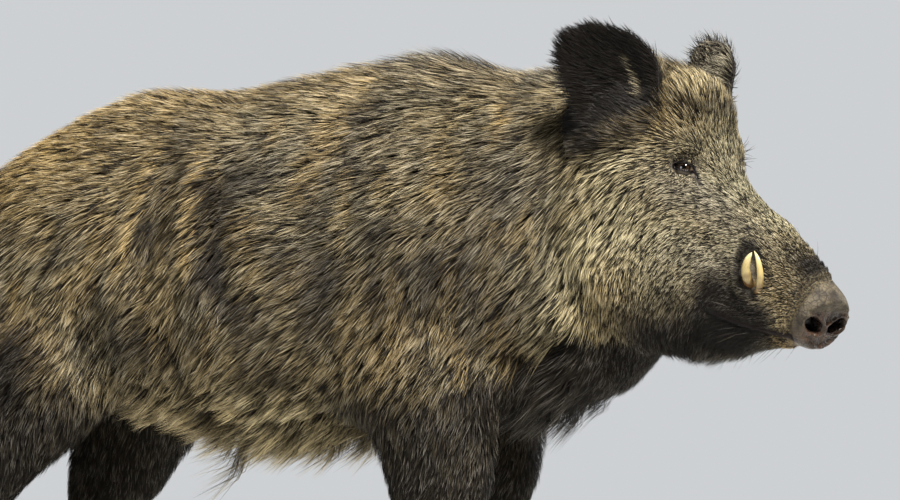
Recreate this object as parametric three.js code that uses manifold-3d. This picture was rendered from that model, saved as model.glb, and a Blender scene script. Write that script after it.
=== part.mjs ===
// A full-grown male wild boar, standing, as a life-size model. Millimetres, +X ahead, +Y to its left, +Z up.
// The origin is on the ground, under the middle of the animal's length and width.
// Every size is that of the outside of the coat.
import * as THREE from "three";
import { LoftGeometry } from "three/addons/geometries/LoftGeometry.js";
import { mergeVertices } from "three/addons/utils/BufferGeometryUtils.js";
import Module from "manifold-3d";

const wasm = await Module();
wasm.setup();

// ---- Driving dimensions -------------------------------------------------------------------------

const seam = 0.4; // left open between two neighbouring pieces
const withersAhead = 118; // from the origin to the withers, along the body

// The trunk and neck, from the rump to behind the cheeks. Each station is its distance ahead of the
// withers, the height of the back, of the belly and of the widest place, half the width there, and how
// square the upper and the lower half of the section are: 2 is an ellipse, and more is squarer.
const trunkStations = [
  [-806, 626, 540, 590, 34, 2.0, 2.0],
  [-786, 682, 474, 594, 92, 2.0, 2.0],
  [-722, 736, 424, 594, 138, 2.0, 2.0],
  [-610, 796, 400, 588, 164, 2.0, 2.1],
  [-471, 858, 382, 580, 172, 2.0, 2.2],
  [-360, 855, 350, 570, 184, 1.95, 2.25],
  [-240, 872, 338, 565, 190, 1.85, 2.25],
  [-110, 890, 348, 570, 186, 1.75, 2.2],
  [0, 901, 368, 590, 178, 1.7, 2.1],
  [95, 879, 376, 610, 166, 1.75, 2.0],
  [190, 884, 390, 630, 150, 1.8, 2.0],
  [270, 860, 424, 650, 130, 2.0, 2.0],
  [340, 780, 500, 650, 84, 2.0, 2.0],
];

// The head, whose own frame has its origin in the middle of the snout's disc, +X along the muzzle and
// +Z towards the forehead. Each station is its distance behind the disc, the heights of the nose bridge
// or forehead, of the jaw and of the widest place, half the width, and the two squarenesses.
const headAhead = 604; // the disc, from the withers
const headAside = -112;
const headHeight = 522;
const headTurn = THREE.MathUtils.degToRad(-15); // to the animal's right
const headDroop = THREE.MathUtils.degToRad(28);
const headStations = [
  [500, 80, -110, 0, 80, 2.0, 2.0],
  [430, 184, -190, -10, 122, 2.1, 2.0],
  [365, 203, -216, -20, 133, 2.2, 2.0],
  [310, 194, -206, -28, 120, 2.1, 2.0],
  [262, 143, -186, -30, 94, 2.1, 2.0],
  [215, 107, -162, -26, 76, 2.15, 2.0],
  [165, 92, -141, -18, 66, 2.2, 2.1],
  [120, 87, -118, -6, 60, 2.1, 2.2],
  [75, 75, -80, 0, 51, 2.0, 2.2],
  [35, 62, -55, 0, 42, 2.0, 2.2],
  [14, 48, -42, 0, 43, 2.0, 2.1],
  [0, 37, -37, 0, 43, 2.1, 2.1],
];
const discDepth = 20; // of the snout's bare disc
const nostril = { aside: 21, height: 1, halfWidth: 12, halfHeight: 8.5, depth: 15 };
const mouth = { front: [-18, -30], back: [-172, -52] }; // along and up, in the head's frame
const throat = [-205, -230];
const cheekLine = 272; // where the neck meets the head, ahead of the withers
const neckLine = 112; // where it leaves the shoulders

const eye = { behind: 266, height: 92.5, aside: 56, radius: 12.5 };

// Tusks curve out and up from the jaws. Each row is along, aside, up and half the thickness.
const lowerTusk = [
  [-91, 46, -1, 6],
  [-85, 54, 8, 6.5],
  [-88, 61, 28, 5.8],
  [-98, 63, 43, 4.2],
  [-111, 61, 51, 1],
];
const upperTusk = [
  [-105, 46, 4, 7],
  [-106, 56, 11, 6.5],
  [-110, 64, 24, 5.8],
  [-111, 67, 38, 4.2],
  [-110, 66, 49, 1.2],
];

// An ear is a cupped leaf. Its foot is placed from the snout's disc in a frame that turns with the head
// but doesn't droop with it.
const ear = {
  behind: 265, aside: 98, height: 222, length: 182, halfWidth: 60, cup: 40, thickness: 8, bulge: 22,
  lean: { right: [-0.2, 0.24, 0.94], left: [-0.3, 0.4, 0.88] },
  opening: { right: [0.42, 0.9, 0.1], left: [0.3, 0.95, 0.1] },
};

// Legs, as rows from the trunk down: along (from the withers), aside, up, half the depth, half the width.
const foreleg = [
  [-26, 88, 640, 70, 26],
  [-16, 96, 560, 94, 44],
  [8, 106, 480, 112, 72],
  [26, 108, 410, 106, 68],
  [38, 110, 335, 88, 54],
  [40, 110, 275, 73, 44],
  [42, 110, 225, 46, 37],
  [42, 110, 160, 32, 29],
  [44, 110, 100, 32, 29],
  [56, 110, 62, 35, 33],
  [68, 110, 38.4, 36, 33],
];
const hindleg = [
  [-590, 80, 660, 96, 30],
  [-584, 92, 570, 134, 52],
  [-566, 102, 480, 156, 82],
  [-556, 104, 405, 134, 70],
  [-574, 106, 340, 98, 54],
  [-600, 108, 280, 82, 42],
  [-618, 108, 232, 54, 36],
  [-616, 108, 165, 34, 28],
  [-606, 108, 105, 31, 28],
  [-594, 108, 64, 34, 32],
  [-582, 108, 38.4, 35, 33],
];
const hindStep = { right: -112, left: 0 }; // each hind foot's place along the body
const foreStep = { right: 0, left: -30 };
const tail = [
  [-776, 0, 704, 26, 26],
  [-812, 0, 690, 22, 22],
  [-834, 0, 640, 17, 17],
  [-842, 0, 570, 15, 15],
  [-842, 0, 500, 19, 19],
  [-838, 0, 430, 20, 20],
  [-834, 0, 380, 6, 6],
];

// The tuft of hair at the mouth of the sheath: along, aside, up and half the thickness.
const sheathTuft = [
  [-300, 0, 365, 26],
  [-304, 0, 345, 20],
  [-312, 0, 322, 12],
  [-316, 0, 300, 2],
];

const hoof = { toe: 42, heel: 28, halfWidth: 15, height: 38, parting: 2 };
const dewclaw = { behind: -37, aside: 19, height: 66, length: 30, radius: 9 };

// ---- Solids -------------------------------------------------------------------------------------

/** A closed geometry as a solid for joining and cutting. */
function solid(geometry) {
  const bare = new THREE.BufferGeometry().setAttribute("position", geometry.getAttribute("position"));
  bare.setIndex(geometry.index);
  const merged = mergeVertices(bare, 1e-4);
  return new wasm.Manifold(
    new wasm.Mesh({
      numProp: 3,
      vertProperties: merged.attributes.position.array,
      triVerts: new Uint32Array(merged.index.array),
    }),
  );
}

/** A solid's surface as a geometry. */
function geometryOf(made) {
  const mesh = made.getMesh();
  return new THREE.BufferGeometry()
    .setAttribute("position", new THREE.BufferAttribute(new Float32Array(mesh.vertProperties), 3))
    .setIndex(new THREE.BufferAttribute(mesh.triVerts, 1));
}

/** The row of numbers at share t, from 0 to 1, of the way along the stations, by a Catmull-Rom spline. */
function between(stations, t) {
  const last = stations.length - 1;
  const i = Math.min(Math.floor(t * last), last - 1);
  const f = t * last - i;
  const row = (k) => stations[Math.min(Math.max(k, 0), last)];
  return row(i).map((p1, k) => {
    const [p0, p2, p3] = [row(i - 1)[k], row(i + 1)[k], row(i + 2)[k]];
    const bend = (2 * p0 - 5 * p1 + 4 * p2 - p3) * f * f;
    return 0.5 * (2 * p1 + (p2 - p0) * f + bend + (3 * p1 - p0 - 3 * p2 + p3) * f * f * f);
  });
}

/** A ring of points in the plane of side and up: two half superellipses that meet at the widest place. */
function ring(centre, side, up, { top, bottom, half, squareTop, squareBottom }, sides) {
  return Array.from({ length: sides }, (_, k) => {
    const angle = (2 * Math.PI * k) / sides;
    const [c, s] = [Math.cos(angle), Math.sin(angle)];
    const power = 2 / (s > 0 ? squareTop : squareBottom);
    const across = half * Math.sign(c) * Math.abs(c) ** power;
    const high = (s > 0 ? top : bottom) * Math.sign(s) * Math.abs(s) ** power;
    return centre.clone().addScaledVector(side, across).addScaledVector(up, high);
  });
}

const left = new THREE.Vector3(0, 1, 0);
const upward = new THREE.Vector3(0, 0, 1);

/** The trunk's or the head's stations as a closed solid. */
function barrel(stations, { rings, sides, ahead = 1 }) {
  const sections = Array.from({ length: rings }, (_, i) => {
    const [x, top, bottom, widest, half, squareTop, squareBottom] = between(stations, i / (rings - 1));
    const sizes = { top: top - widest, bottom: widest - bottom, half, squareTop, squareBottom };
    return ring(new THREE.Vector3(ahead * x, 0, widest), left, upward, sizes, sides);
  });
  return solid(new LoftGeometry(sections, { capStart: true, capEnd: true }));
}

/** A limb: rings square to a path down the rows, each row being along, aside, up, half depth, half width. */
function limb(rows, { rings, sides, square = 2.2, grow = 0 }) {
  const at = (t) => between(rows, t);
  const sections = Array.from({ length: rings }, (_, i) => {
    const t = i / (rings - 1);
    const [x, y, z, halfDepth, halfWidth] = at(t);
    const [a, b] = [at(Math.max(t - 0.02, 0)), at(Math.min(t + 0.02, 1))];
    const along = new THREE.Vector3(b[0] - a[0], 0, b[2] - a[2]);
    if (i === rings - 1) along.set(0, 0, -1); // a limb ends level
    const front = along.normalize().cross(left);
    const sizes = { top: halfDepth + grow, bottom: halfDepth + grow, half: halfWidth + grow,
      squareTop: square, squareBottom: square };
    return ring(new THREE.Vector3(x, y, z), left, front, sizes, sides);
  });
  return solid(new LoftGeometry(sections, { capStart: true, capEnd: true }));
}

/** A round tapering horn along rows of x, y, z and radius. */
function horn(rows, { rings, sides, grow = 0 }) {
  const point = (t) => new THREE.Vector3(...between(rows, t).slice(0, 3));
  const sections = Array.from({ length: rings }, (_, i) => {
    const t = i / (rings - 1);
    const along = point(Math.min(t + 0.03, 1)).sub(point(Math.max(t - 0.03, 0))).normalize();
    const side = new THREE.Vector3(1, 0, 0).cross(along).normalize();
    const radius = between(rows, t)[3] + grow;
    const sizes = { top: radius, bottom: radius, half: radius, squareTop: 2, squareBottom: 2 };
    return ring(point(t), side, along.clone().cross(side), sizes, sides);
  });
  return solid(new LoftGeometry(sections, { capStart: true, capEnd: true }));
}

/** A prism over an outline drawn in the head's side view, right through the head. */
function sidePrism(outline) {
  const shape = new THREE.Shape(outline.map(([x, z]) => new THREE.Vector2(x, z)));
  const prism = new THREE.ExtrudeGeometry(shape, { depth: 500, bevelEnabled: false });
  prism.rotateX(Math.PI / 2).translate(0, 250, 0);
  return solid(prism);
}

/** A block from one corner to the other. */
function block(low, high) {
  const size = high.map((h, k) => h - low[k]);
  const middle = high.map((h, k) => (h + low[k]) / 2);
  return solid(new THREE.BoxGeometry(...size).translate(...middle));
}

const sides = [["right", -1], ["left", 1]];
const mirrored = (rows) => rows.map(([x, y, ...rest]) => [x, -y, ...rest]);
const stepped = (rows, step) =>
  rows.map(([x, y, z, ...rest]) => [x + step * Math.min(1, Math.max(0, (620 - z) / 340)), y, z, ...rest]);

// ---- Head ---------------------------------------------------------------------------------------

const headFrame = new THREE.Matrix4()
  .makeTranslation(headAhead, headAside, headHeight)
  .multiply(new THREE.Matrix4().makeRotationZ(headTurn))
  .multiply(new THREE.Matrix4().makeRotationY(headDroop));
const crownFrame = new THREE.Matrix4()
  .makeTranslation(headAhead, headAside, headHeight)
  .multiply(new THREE.Matrix4().makeRotationZ(headTurn));
const inFrame = (made, frame) => made.transform(frame.elements);

function eyeball(side, grow) {
  const ball = new THREE.SphereGeometry(eye.radius + grow, 10, 7);
  return solid(ball.rotateX(Math.PI / 2).translate(-eye.behind, side * eye.aside, eye.height));
}

function nostrilPit(side) {
  const pit = new THREE.SphereGeometry(1, 10, 8).scale(nostril.depth, nostril.halfWidth, nostril.halfHeight);
  return solid(pit.translate(0, side * nostril.aside, nostril.height));
}

/** The head's pieces in its own frame, before it is joined to the neck. */
function headPieces() {
  let skull = barrel(headStations, { rings: 26, sides: 22, ahead: -1 });
  const tusks = {};
  for (const [name, side] of sides) {
    for (const [kind, rows] of [["lower", lowerTusk], ["upper", upperTusk]]) {
      const path = side > 0 ? rows : mirrored(rows);
      tusks[kind + "_tusk_" + name] = horn(path, { rings: 6, sides: 6 });
      skull = skull.subtract(horn(path, { rings: 6, sides: 6, grow: seam }));
    }
    skull = skull.subtract(eyeball(side, seam)).subtract(nostrilPit(side));
  }
  const jawOutline = (gap) => [
    [60, mouth.front[1] - gap], [mouth.front[0], mouth.front[1] - gap],
    [mouth.back[0] + gap, mouth.back[1] - gap], [throat[0] + gap, throat[1]], [60, throat[1]],
  ];
  const discBlock = block([-discDepth, -90, -90], [60, 90, 90]);
  const behindDisc = block([-700, -300, -300], [-discDepth - seam, 300, 300]);
  const rest = skull.intersect(behindDisc);
  return {
    snout: skull.intersect(discBlock),
    jaw: rest.intersect(sidePrism(jawOutline(seam))),
    jawRoom: sidePrism(jawOutline(0)),
    skull: rest,
    tusks,
  };
}

/** An ear: crescent sections from its rolled foot to its tip, open towards its opening. */
function earSolid(side) {
  const which = side < 0 ? "right" : "left";
  const lean = ear.lean[which];
  const opening = ear.opening[which];
  const tall = new THREE.Vector3(lean[0], side * lean[1], lean[2]).normalize();
  const facing = new THREE.Vector3(opening[0], side * opening[1], opening[2]);
  facing.addScaledVector(tall, -facing.dot(tall)).normalize();
  const wide = new THREE.Vector3().crossVectors(facing, tall);
  const foot = new THREE.Vector3(-ear.behind, side * ear.aside, ear.height);
  const steps = 8;
  const sections = Array.from({ length: 9 }, (_, i) => {
    const t = i / 8;
    const half = ear.halfWidth * (0.52 + 1.5 * t - 0.35 * t * t) * Math.sqrt(1.02 - t ** 2.6) / 1.05;
    const depth = ear.cup * (1 - 0.72 * t);
    const thick = ear.thickness * (1.1 - 0.25 * t);
    const centre = foot.clone().addScaledVector(tall, ear.length * t);
    centre.addScaledVector(wide, side * ear.bulge * Math.sin(Math.PI * t));
    const arc = (off, sign) =>
      Array.from({ length: steps + 1 }, (_, k) => {
        const angle = sign * Math.PI * (k / steps - 0.5) * 0.94;
        const [s, c] = [Math.sin(angle), Math.cos(angle)];
        const stretch = off / Math.hypot(depth * s, half * c);
        const point = centre.clone().addScaledVector(wide, half * s + stretch * depth * s);
        return point.addScaledVector(facing, -depth * c - stretch * half * c);
      });
    return [...arc(thick / 2, 1), ...arc(-thick / 2, -1)];
  });
  return solid(new LoftGeometry(sections, { capStart: true, capEnd: true }));
}

// ---- Feet ---------------------------------------------------------------------------------------

/** One half of a cloven hoof: level rings from the coronet to the sole, pointed ahead. */
function hoofSolid(x, y, side) {
  const inner = y + side * hoof.parting;
  const ringAt = (z, spread) =>
    Array.from({ length: 12 }, (_, k) => {
      const angle = (2 * Math.PI * k) / 12;
      const ahead = Math.cos(angle) > 0 ? hoof.toe : hoof.heel;
      const reach = ahead * Math.sign(Math.cos(angle)) * Math.abs(Math.cos(angle)) ** 0.9 * spread;
      const narrow = 1 - 0.45 * Math.max(0, Math.cos(angle)) ** 2;
      const across = hoof.halfWidth * (1 + side * Math.sin(angle) * narrow);
      return new THREE.Vector3(x + reach + (spread - 1) * 30, inner + side * across * 0.98, z);
    });
  const sections = [ringAt(0, 0.95), ringAt(5, 0.98), ringAt(22, 0.86), ringAt(hoof.height, 0.72)];
  return solid(new LoftGeometry(sections, { capStart: true, capEnd: true }));
}

/** A dewclaw behind the fetlock, pointing down and back. */
function dewclawSolid(x, y, side, grow) {
  const rows = [
    [x + dewclaw.behind + 22, y + side * dewclaw.aside * 0.8, dewclaw.height + 8, dewclaw.radius * 0.8],
    [x + dewclaw.behind + 6, y + side * dewclaw.aside, dewclaw.height, dewclaw.radius],
    [x + dewclaw.behind - 4, y + side * dewclaw.aside, dewclaw.height - 14, dewclaw.radius * 0.85],
    [x + dewclaw.behind - 6, y + side * dewclaw.aside, dewclaw.height - dewclaw.length, 3],
  ];
  return horn(rows, { rings: 5, sides: 6, grow });
}

// ---- Putting the animal together ----------------------------------------------------------------

const pieces = new Map();
const head = headPieces();
const torso = barrel(trunkStations, { rings: 28, sides: 22 });
const sheath = horn(sheathTuft, { rings: 5, sides: 7 });
const flesh = inFrame(head.skull, headFrame).add(torso).add(sheath);

// The head meets the neck at an upright plane behind the cheeks, turned half as far as the head.
const cheekFrame = new THREE.Matrix4()
  .makeTranslation(cheekLine, 0, 0)
  .multiply(new THREE.Matrix4().makeRotationZ(headTurn / 2));
const headSide = inFrame(block([0, -500, 0], [800, 500, 1300]), cheekFrame);
const neckSide = inFrame(block([-1800, -900, 0], [-seam, 900, 1300]), cheekFrame);

pieces.set("head", flesh.intersect(headSide).subtract(inFrame(head.jawRoom, headFrame)));
pieces.set("snout", inFrame(head.snout, headFrame));
pieces.set("lower_jaw", inFrame(head.jaw, headFrame));
for (const [name, side] of sides) {
  const clear = flesh.translate(0, seam * side, seam);
  pieces.set("ear_" + name, inFrame(earSolid(side), crownFrame).subtract(flesh).subtract(clear));
  pieces.set("eye_" + name, inFrame(eyeball(side, 0), headFrame));
}
for (const [name, tusk] of Object.entries(head.tusks)) pieces.set(name, inFrame(tusk, headFrame));

/** A leg's upper and lower pieces and its four horny ones; gives back the room that it takes up. */
function addLeg(name, rows, side, { knee, top }) {
  const whole = limb(rows, { rings: 16, sides: 12 });
  const [footX, footY] = rows[rows.length - 1];
  const shank = block([-1200, -400, hoof.height + seam], [600, 400, knee - seam / 2]);
  const thigh = block([-1200, side > 0 ? 6 : -400, knee + seam / 2], [600, side > 0 ? 400 : -6, top]);
  let lower = whole.intersect(shank);
  for (const [place, across] of [["outer", side], ["inner", -side]]) {
    pieces.set(name + "_hoof_" + place, hoofSolid(footX, footY, across));
    pieces.set(name + "_dewclaw_" + place, dewclawSolid(footX, footY, across, 0));
    lower = lower.subtract(dewclawSolid(footX, footY, across, seam));
  }
  pieces.set(name + "_upper", whole.intersect(thigh));
  pieces.set(name + "_lower", lower);
  const room = limb(rows, { rings: 16, sides: 12, grow: seam });
  return room.intersect(block([-1200, -400, 0], [600, 400, top + seam]));
}

let trunk = flesh.intersect(neckSide).subtract(limb(tail, { rings: 14, sides: 10, square: 2, grow: seam }));
for (const [name, side] of sides) {
  const fore = stepped(side > 0 ? foreleg : mirrored(foreleg), foreStep[name]);
  const hind = stepped(side > 0 ? hindleg : mirrored(hindleg), hindStep[name]);
  trunk = trunk.subtract(addLeg("foreleg_" + name, fore, side, { knee: 250, top: 560 }));
  trunk = trunk.subtract(addLeg("hindleg_" + name, hind, side, { knee: 262, top: 585 }));
}
pieces.set("tail", limb(tail, { rings: 14, sides: 10, square: 2 }));
pieces.set("neck", trunk.intersect(block([neckLine + seam / 2, -500, 0], [900, 500, 1200])));
pieces.set("trunk", trunk.intersect(block([-1200, -500, 0], [neckLine - seam / 2, 500, 1200])));

// ---- Meshes and materials -----------------------------------------------------------------------

const materials = {
  coat: new THREE.MeshStandardMaterial({ color: 0x6b5a3e, roughness: 0.85, metalness: 0 }),
  darkCoat: new THREE.MeshStandardMaterial({ color: 0x2a231d, roughness: 0.85, metalness: 0 }),
  snoutSkin: new THREE.MeshStandardMaterial({ color: 0x5a4640, roughness: 0.5, metalness: 0 }),
  eye: new THREE.MeshStandardMaterial({ color: 0x1c0f08, roughness: 0.08, metalness: 0 }),
  ivory: new THREE.MeshStandardMaterial({ color: 0xd9c184, roughness: 0.35, metalness: 0 }),
  horn: new THREE.MeshStandardMaterial({ color: 0x2b2623, roughness: 0.6, metalness: 0 }),
};

function materialOf(name) {
  if (/hoof|dewclaw/.test(name)) return materials.horn;
  if (/tusk/.test(name)) return materials.ivory;
  if (/eye/.test(name)) return materials.eye;
  if (/snout/.test(name)) return materials.snoutSkin;
  return /leg|ear|tail|jaw/.test(name) ? materials.darkCoat : materials.coat;
}

const boar = new THREE.Group();
for (const [name, made] of pieces) {
  const parts = made.decompose().sort((a, b) => b.volume() - a.volume());
  const mesh = new THREE.Mesh(geometryOf(parts[0]), materialOf(name));
  mesh.name = name;
  mesh.position.x = withersAhead;
  boar.add(mesh);
}

export default boar;
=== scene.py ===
import bmesh
import bpy
import numpy as np
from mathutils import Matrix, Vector


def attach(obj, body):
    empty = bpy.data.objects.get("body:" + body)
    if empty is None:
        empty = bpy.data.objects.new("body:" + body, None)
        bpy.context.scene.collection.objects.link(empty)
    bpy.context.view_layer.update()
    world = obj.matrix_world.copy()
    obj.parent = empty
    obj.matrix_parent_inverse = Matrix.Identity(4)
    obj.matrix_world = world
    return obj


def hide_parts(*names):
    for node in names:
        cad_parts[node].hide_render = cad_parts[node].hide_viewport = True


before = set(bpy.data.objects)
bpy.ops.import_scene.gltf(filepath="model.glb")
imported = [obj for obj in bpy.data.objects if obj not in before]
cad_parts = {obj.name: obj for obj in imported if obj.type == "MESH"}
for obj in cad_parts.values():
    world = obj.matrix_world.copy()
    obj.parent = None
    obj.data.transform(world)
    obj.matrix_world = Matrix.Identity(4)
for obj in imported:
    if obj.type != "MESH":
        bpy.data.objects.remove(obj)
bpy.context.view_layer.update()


# ---- The room ------------------------------------------------------------------------------------
# A plain studio with a floor of pale painted board that runs off into a pale backdrop. Soft lamps on
# stands light it: a key high on the boar's right, a wide fill low on its right, one behind, one on its left.

AIM = np.array([0.118, 0.010, 0.620])
CAMERA_TURN = np.radians(25.0)
CAMERA_AWAY = 6.0
SEEN_WIDTH = 1.26  # m across the picture, at the distance of the aim
SENSOR = 36.0  # mm
FLOOR_RADIUS, FLOOR_SIDES, FADE_FROM, FADE_TO = 12.0, 96, 1.9, 4.5
FLOOR_PAINT = (0.60, 0.60, 0.585, 1)


def studio_camera():
    """A level camera CAMERA_AWAY from the aim, with a lens that shows SEEN_WIDTH there: f = sensor d / w."""
    data = bpy.data.cameras.new("camera")
    data.sensor_width = SENSOR
    data.lens = SENSOR * CAMERA_AWAY / SEEN_WIDTH
    camera = bpy.data.objects.new("camera", data)
    back = np.array([np.sin(CAMERA_TURN), -np.cos(CAMERA_TURN), 0.0])
    camera.location = Vector(AIM + CAMERA_AWAY * back)
    camera.rotation_euler = Vector(-back).to_track_quat("-Z", "Y").to_euler()
    bpy.context.scene.collection.objects.link(camera)
    bpy.context.scene.camera = camera


def softbox(name, place, target, size, power, colour):
    """A square area lamp at place, turned to shine at the target."""
    data = bpy.data.lights.new(name, "AREA")
    data.shape, data.size, data.energy, data.color = "SQUARE", size, power, colour
    lamp = bpy.data.objects.new(name, data)
    lamp.location = place
    lamp.rotation_euler = (Vector(target) - Vector(place)).to_track_quat("-Z", "Y").to_euler()
    bpy.context.scene.collection.objects.link(lamp)


def new_material(name):
    """An empty node material and its tree."""
    material = bpy.data.materials.new(name)
    material.use_nodes = True
    material.node_tree.nodes.clear()
    return material, material.node_tree


def add(tree, kind, inputs=None, **settings):
    """One node, its settings, and its inputs: a socket is linked, anything else is set."""
    node = tree.nodes.new(kind)
    for key, value in settings.items():
        setattr(node, key, value)
    for key, value in (inputs or {}).items():
        if isinstance(value, bpy.types.NodeSocket):
            tree.links.new(value, node.inputs[key])
        else:
            node.inputs[key].default_value = value
    return node


def object_place(tree):
    """The place of the shaded point in the piece's own metres."""
    return add(tree, "ShaderNodeTexCoord").outputs["Object"]


def mesh_object(name, points, faces, paint=None):
    """A piece at the origin with these points and faces, and its paint."""
    mesh = bpy.data.meshes.new(name)
    mesh.from_pydata(points.tolist(), [], faces.tolist() if isinstance(faces, np.ndarray) else faces)
    return linked(name, mesh, paint)


def linked(name, mesh, paint):
    """The mesh as an object in the scene, with its paint."""
    piece = bpy.data.objects.new(name, mesh)
    bpy.context.scene.collection.objects.link(piece)
    if paint:
        mesh.materials.append(paint)
    return piece


def pale_floor():
    """A round floor at z = 0 that fades to the backdrop from FADE_FROM to FADE_TO metres off its middle."""
    turn = np.linspace(0, 2 * np.pi, FLOOR_SIDES, endpoint=False)
    rim = np.stack([FLOOR_RADIUS * np.cos(turn), FLOOR_RADIUS * np.sin(turn), 0 * turn], 1)
    material, tree = new_material("floor_paint")
    away = add(tree, "ShaderNodeVectorMath", {0: object_place(tree)}, operation="LENGTH").outputs["Value"]
    fade = add(tree, "ShaderNodeMapRange", {"Value": away, "From Min": FADE_FROM, "From Max": FADE_TO})
    paint = add(tree, "ShaderNodeBsdfPrincipled", {"Base Color": FLOOR_PAINT, "Roughness": 0.8})
    clear = add(tree, "ShaderNodeBsdfTransparent")
    mix = add(tree, "ShaderNodeMixShader", {0: fade.outputs[0], 1: paint.outputs[0], 2: clear.outputs[0]})
    add(tree, "ShaderNodeOutputMaterial", {"Surface": mix.outputs[0]})
    floor = mesh_object("floor", rim, np.arange(FLOOR_SIDES)[None], material)


studio_camera()
pale_floor()
softbox("key", (2.9, -2.3, 4.9), (0.1, 0.0, 0.6), 1.0, 760, (1.0, 0.95, 0.87))
softbox("fill", (-2.4, -4.6, 1.6), (0.0, 0.0, 0.6), 2.6, 78, (0.90, 0.94, 1.0))
softbox("rim", (-1.2, 3.6, 3.8), (0.1, 0.0, 0.7), 2.0, 75, (1.0, 0.97, 0.92))
softbox("left", (3.0, 4.2, 1.8), (0.1, 0.0, 0.6), 2.6, 90, (0.95, 0.97, 1.0))
backdrop = bpy.data.worlds.new("backdrop")
backdrop.use_nodes = True
backdrop.node_tree.nodes["Background"].inputs["Color"].default_value = (0.72, 0.74, 0.76, 1)
backdrop.node_tree.nodes["Background"].inputs["Strength"].default_value = 0.85
backdrop.cycles_visibility.diffuse = False
backdrop.cycles_visibility.glossy = False
bpy.context.scene.world = backdrop
bpy.context.scene.view_settings.view_transform = "Standard"


# ---- Hide ----------------------------------------------------------------------------------------
# The boar's hide is one closed skin of leather, grown over trunk, neck, head, ears, legs and tail. It lies
# inside the outline of the coat by the coat's depth. On the face it folds into lids, lips, nostrils and the
# pockets that the tusks come out of, and the tough bare disc of the snout is part of it.

MM = 0.001
WITHERS = 118.0  # mm from the origin of X ahead to the middle of the shoulders, from which the rows measure
trunk_rows = np.array([
    [-806, 626, 540, 590, 34, 2.0, 2.0], [-786, 682, 474, 594, 92, 2.0, 2.0],
    [-722, 736, 424, 594, 138, 2.0, 2.0], [-610, 796, 400, 588, 164, 2.0, 2.1],
    [-471, 858, 382, 580, 172, 2.0, 2.2], [-360, 855, 350, 570, 184, 1.95, 2.25],
    [-240, 872, 338, 565, 190, 1.85, 2.25], [-110, 890, 348, 570, 186, 1.75, 2.2],
    [0, 901, 368, 590, 178, 1.7, 2.1], [95, 879, 376, 610, 166, 1.75, 2.0],
    [190, 884, 390, 630, 150, 1.8, 2.0], [270, 860, 424, 650, 130, 2.0, 2.0],
    [340, 780, 500, 650, 84, 2.0, 2.0]])  # ahead, back, belly, widest, half width, squareness
head_rows = np.array([
    [500, 80, -110, 0, 80, 2.0, 2.0], [430, 184, -190, -10, 122, 2.1, 2.0],
    [365, 203, -216, -20, 133, 2.2, 2.0], [310, 194, -206, -28, 120, 2.1, 2.0],
    [262, 143, -186, -30, 94, 2.1, 2.0], [215, 107, -162, -26, 76, 2.15, 2.0],
    [165, 92, -141, -18, 66, 2.2, 2.1], [120, 87, -118, -6, 60, 2.1, 2.2],
    [75, 75, -80, 0, 51, 2.0, 2.2], [35, 62, -55, 0, 42, 2.0, 2.2],
    [14, 48, -42, 0, 43, 2.0, 2.1], [0, 37, -37, 0, 43, 2.1, 2.1]])  # the same, from the snout's disc
foreleg_rows = np.array([
    [-26, 88, 640, 70, 26], [-16, 96, 560, 94, 44], [8, 106, 480, 112, 72], [26, 108, 410, 106, 68],
    [38, 110, 335, 88, 54], [40, 110, 275, 73, 44], [42, 110, 225, 46, 37], [42, 110, 160, 32, 29],
    [44, 110, 100, 32, 29], [56, 110, 62, 35, 33], [68, 110, 38.4, 36, 33]])  # ahead, aside, up, halves
hindleg_rows = np.array([
    [-590, 80, 660, 96, 30], [-584, 92, 570, 134, 52], [-566, 102, 480, 156, 82],
    [-556, 104, 405, 134, 70], [-574, 106, 340, 98, 54], [-600, 108, 280, 82, 42],
    [-618, 108, 232, 54, 36], [-616, 108, 165, 34, 28], [-606, 108, 105, 31, 28],
    [-594, 108, 64, 34, 32], [-582, 108, 38.4, 35, 33]])
tail_rows = np.array([
    [-776, 0, 704, 26, 26], [-812, 0, 690, 22, 22], [-834, 0, 640, 17, 17], [-842, 0, 570, 15, 15],
    [-842, 0, 500, 19, 19], [-838, 0, 430, 20, 20], [-834, 0, 380, 6, 6]])
step_of = {"foreleg_right": 0, "foreleg_left": -30, "hindleg_right": -112, "hindleg_left": 0}
snout_place = np.array([604 + WITHERS, -112, 522]) * MM
HEAD_TURN, HEAD_DROOP = np.radians(-15.0), np.radians(28.0)


def turned(yaw, pitch):
    """Columns are the axes of a frame turned by yaw about Z and then dipped by pitch about its own Y."""
    cy, sy, cp, sp = np.cos(yaw), np.sin(yaw), np.cos(pitch), np.sin(pitch)
    about_z = np.array([[cy, -sy, 0], [sy, cy, 0], [0, 0, 1]])
    about_y = np.array([[cp, 0, sp], [0, 1, 0], [-sp, 0, cp]])
    return about_z @ about_y


head_axes = turned(HEAD_TURN, HEAD_DROOP)
crown_axes = turned(HEAD_TURN, 0.0)


def unit(vectors):
    """The vectors over their own lengths."""
    return vectors / np.linalg.norm(vectors, axis=-1, keepdims=True)


def smooth(low, high, x):
    """0 below low, 1 above high, and 3 t^2 - 2 t^3 between."""
    t = np.clip((x - low) / (high - low), 0, 1)
    return t * t * (3 - 2 * t)


def bell(x, middle, width):
    """exp(-((x - middle) / width)^2)."""
    return np.exp(-(((x - middle) / width) ** 2))


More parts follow.
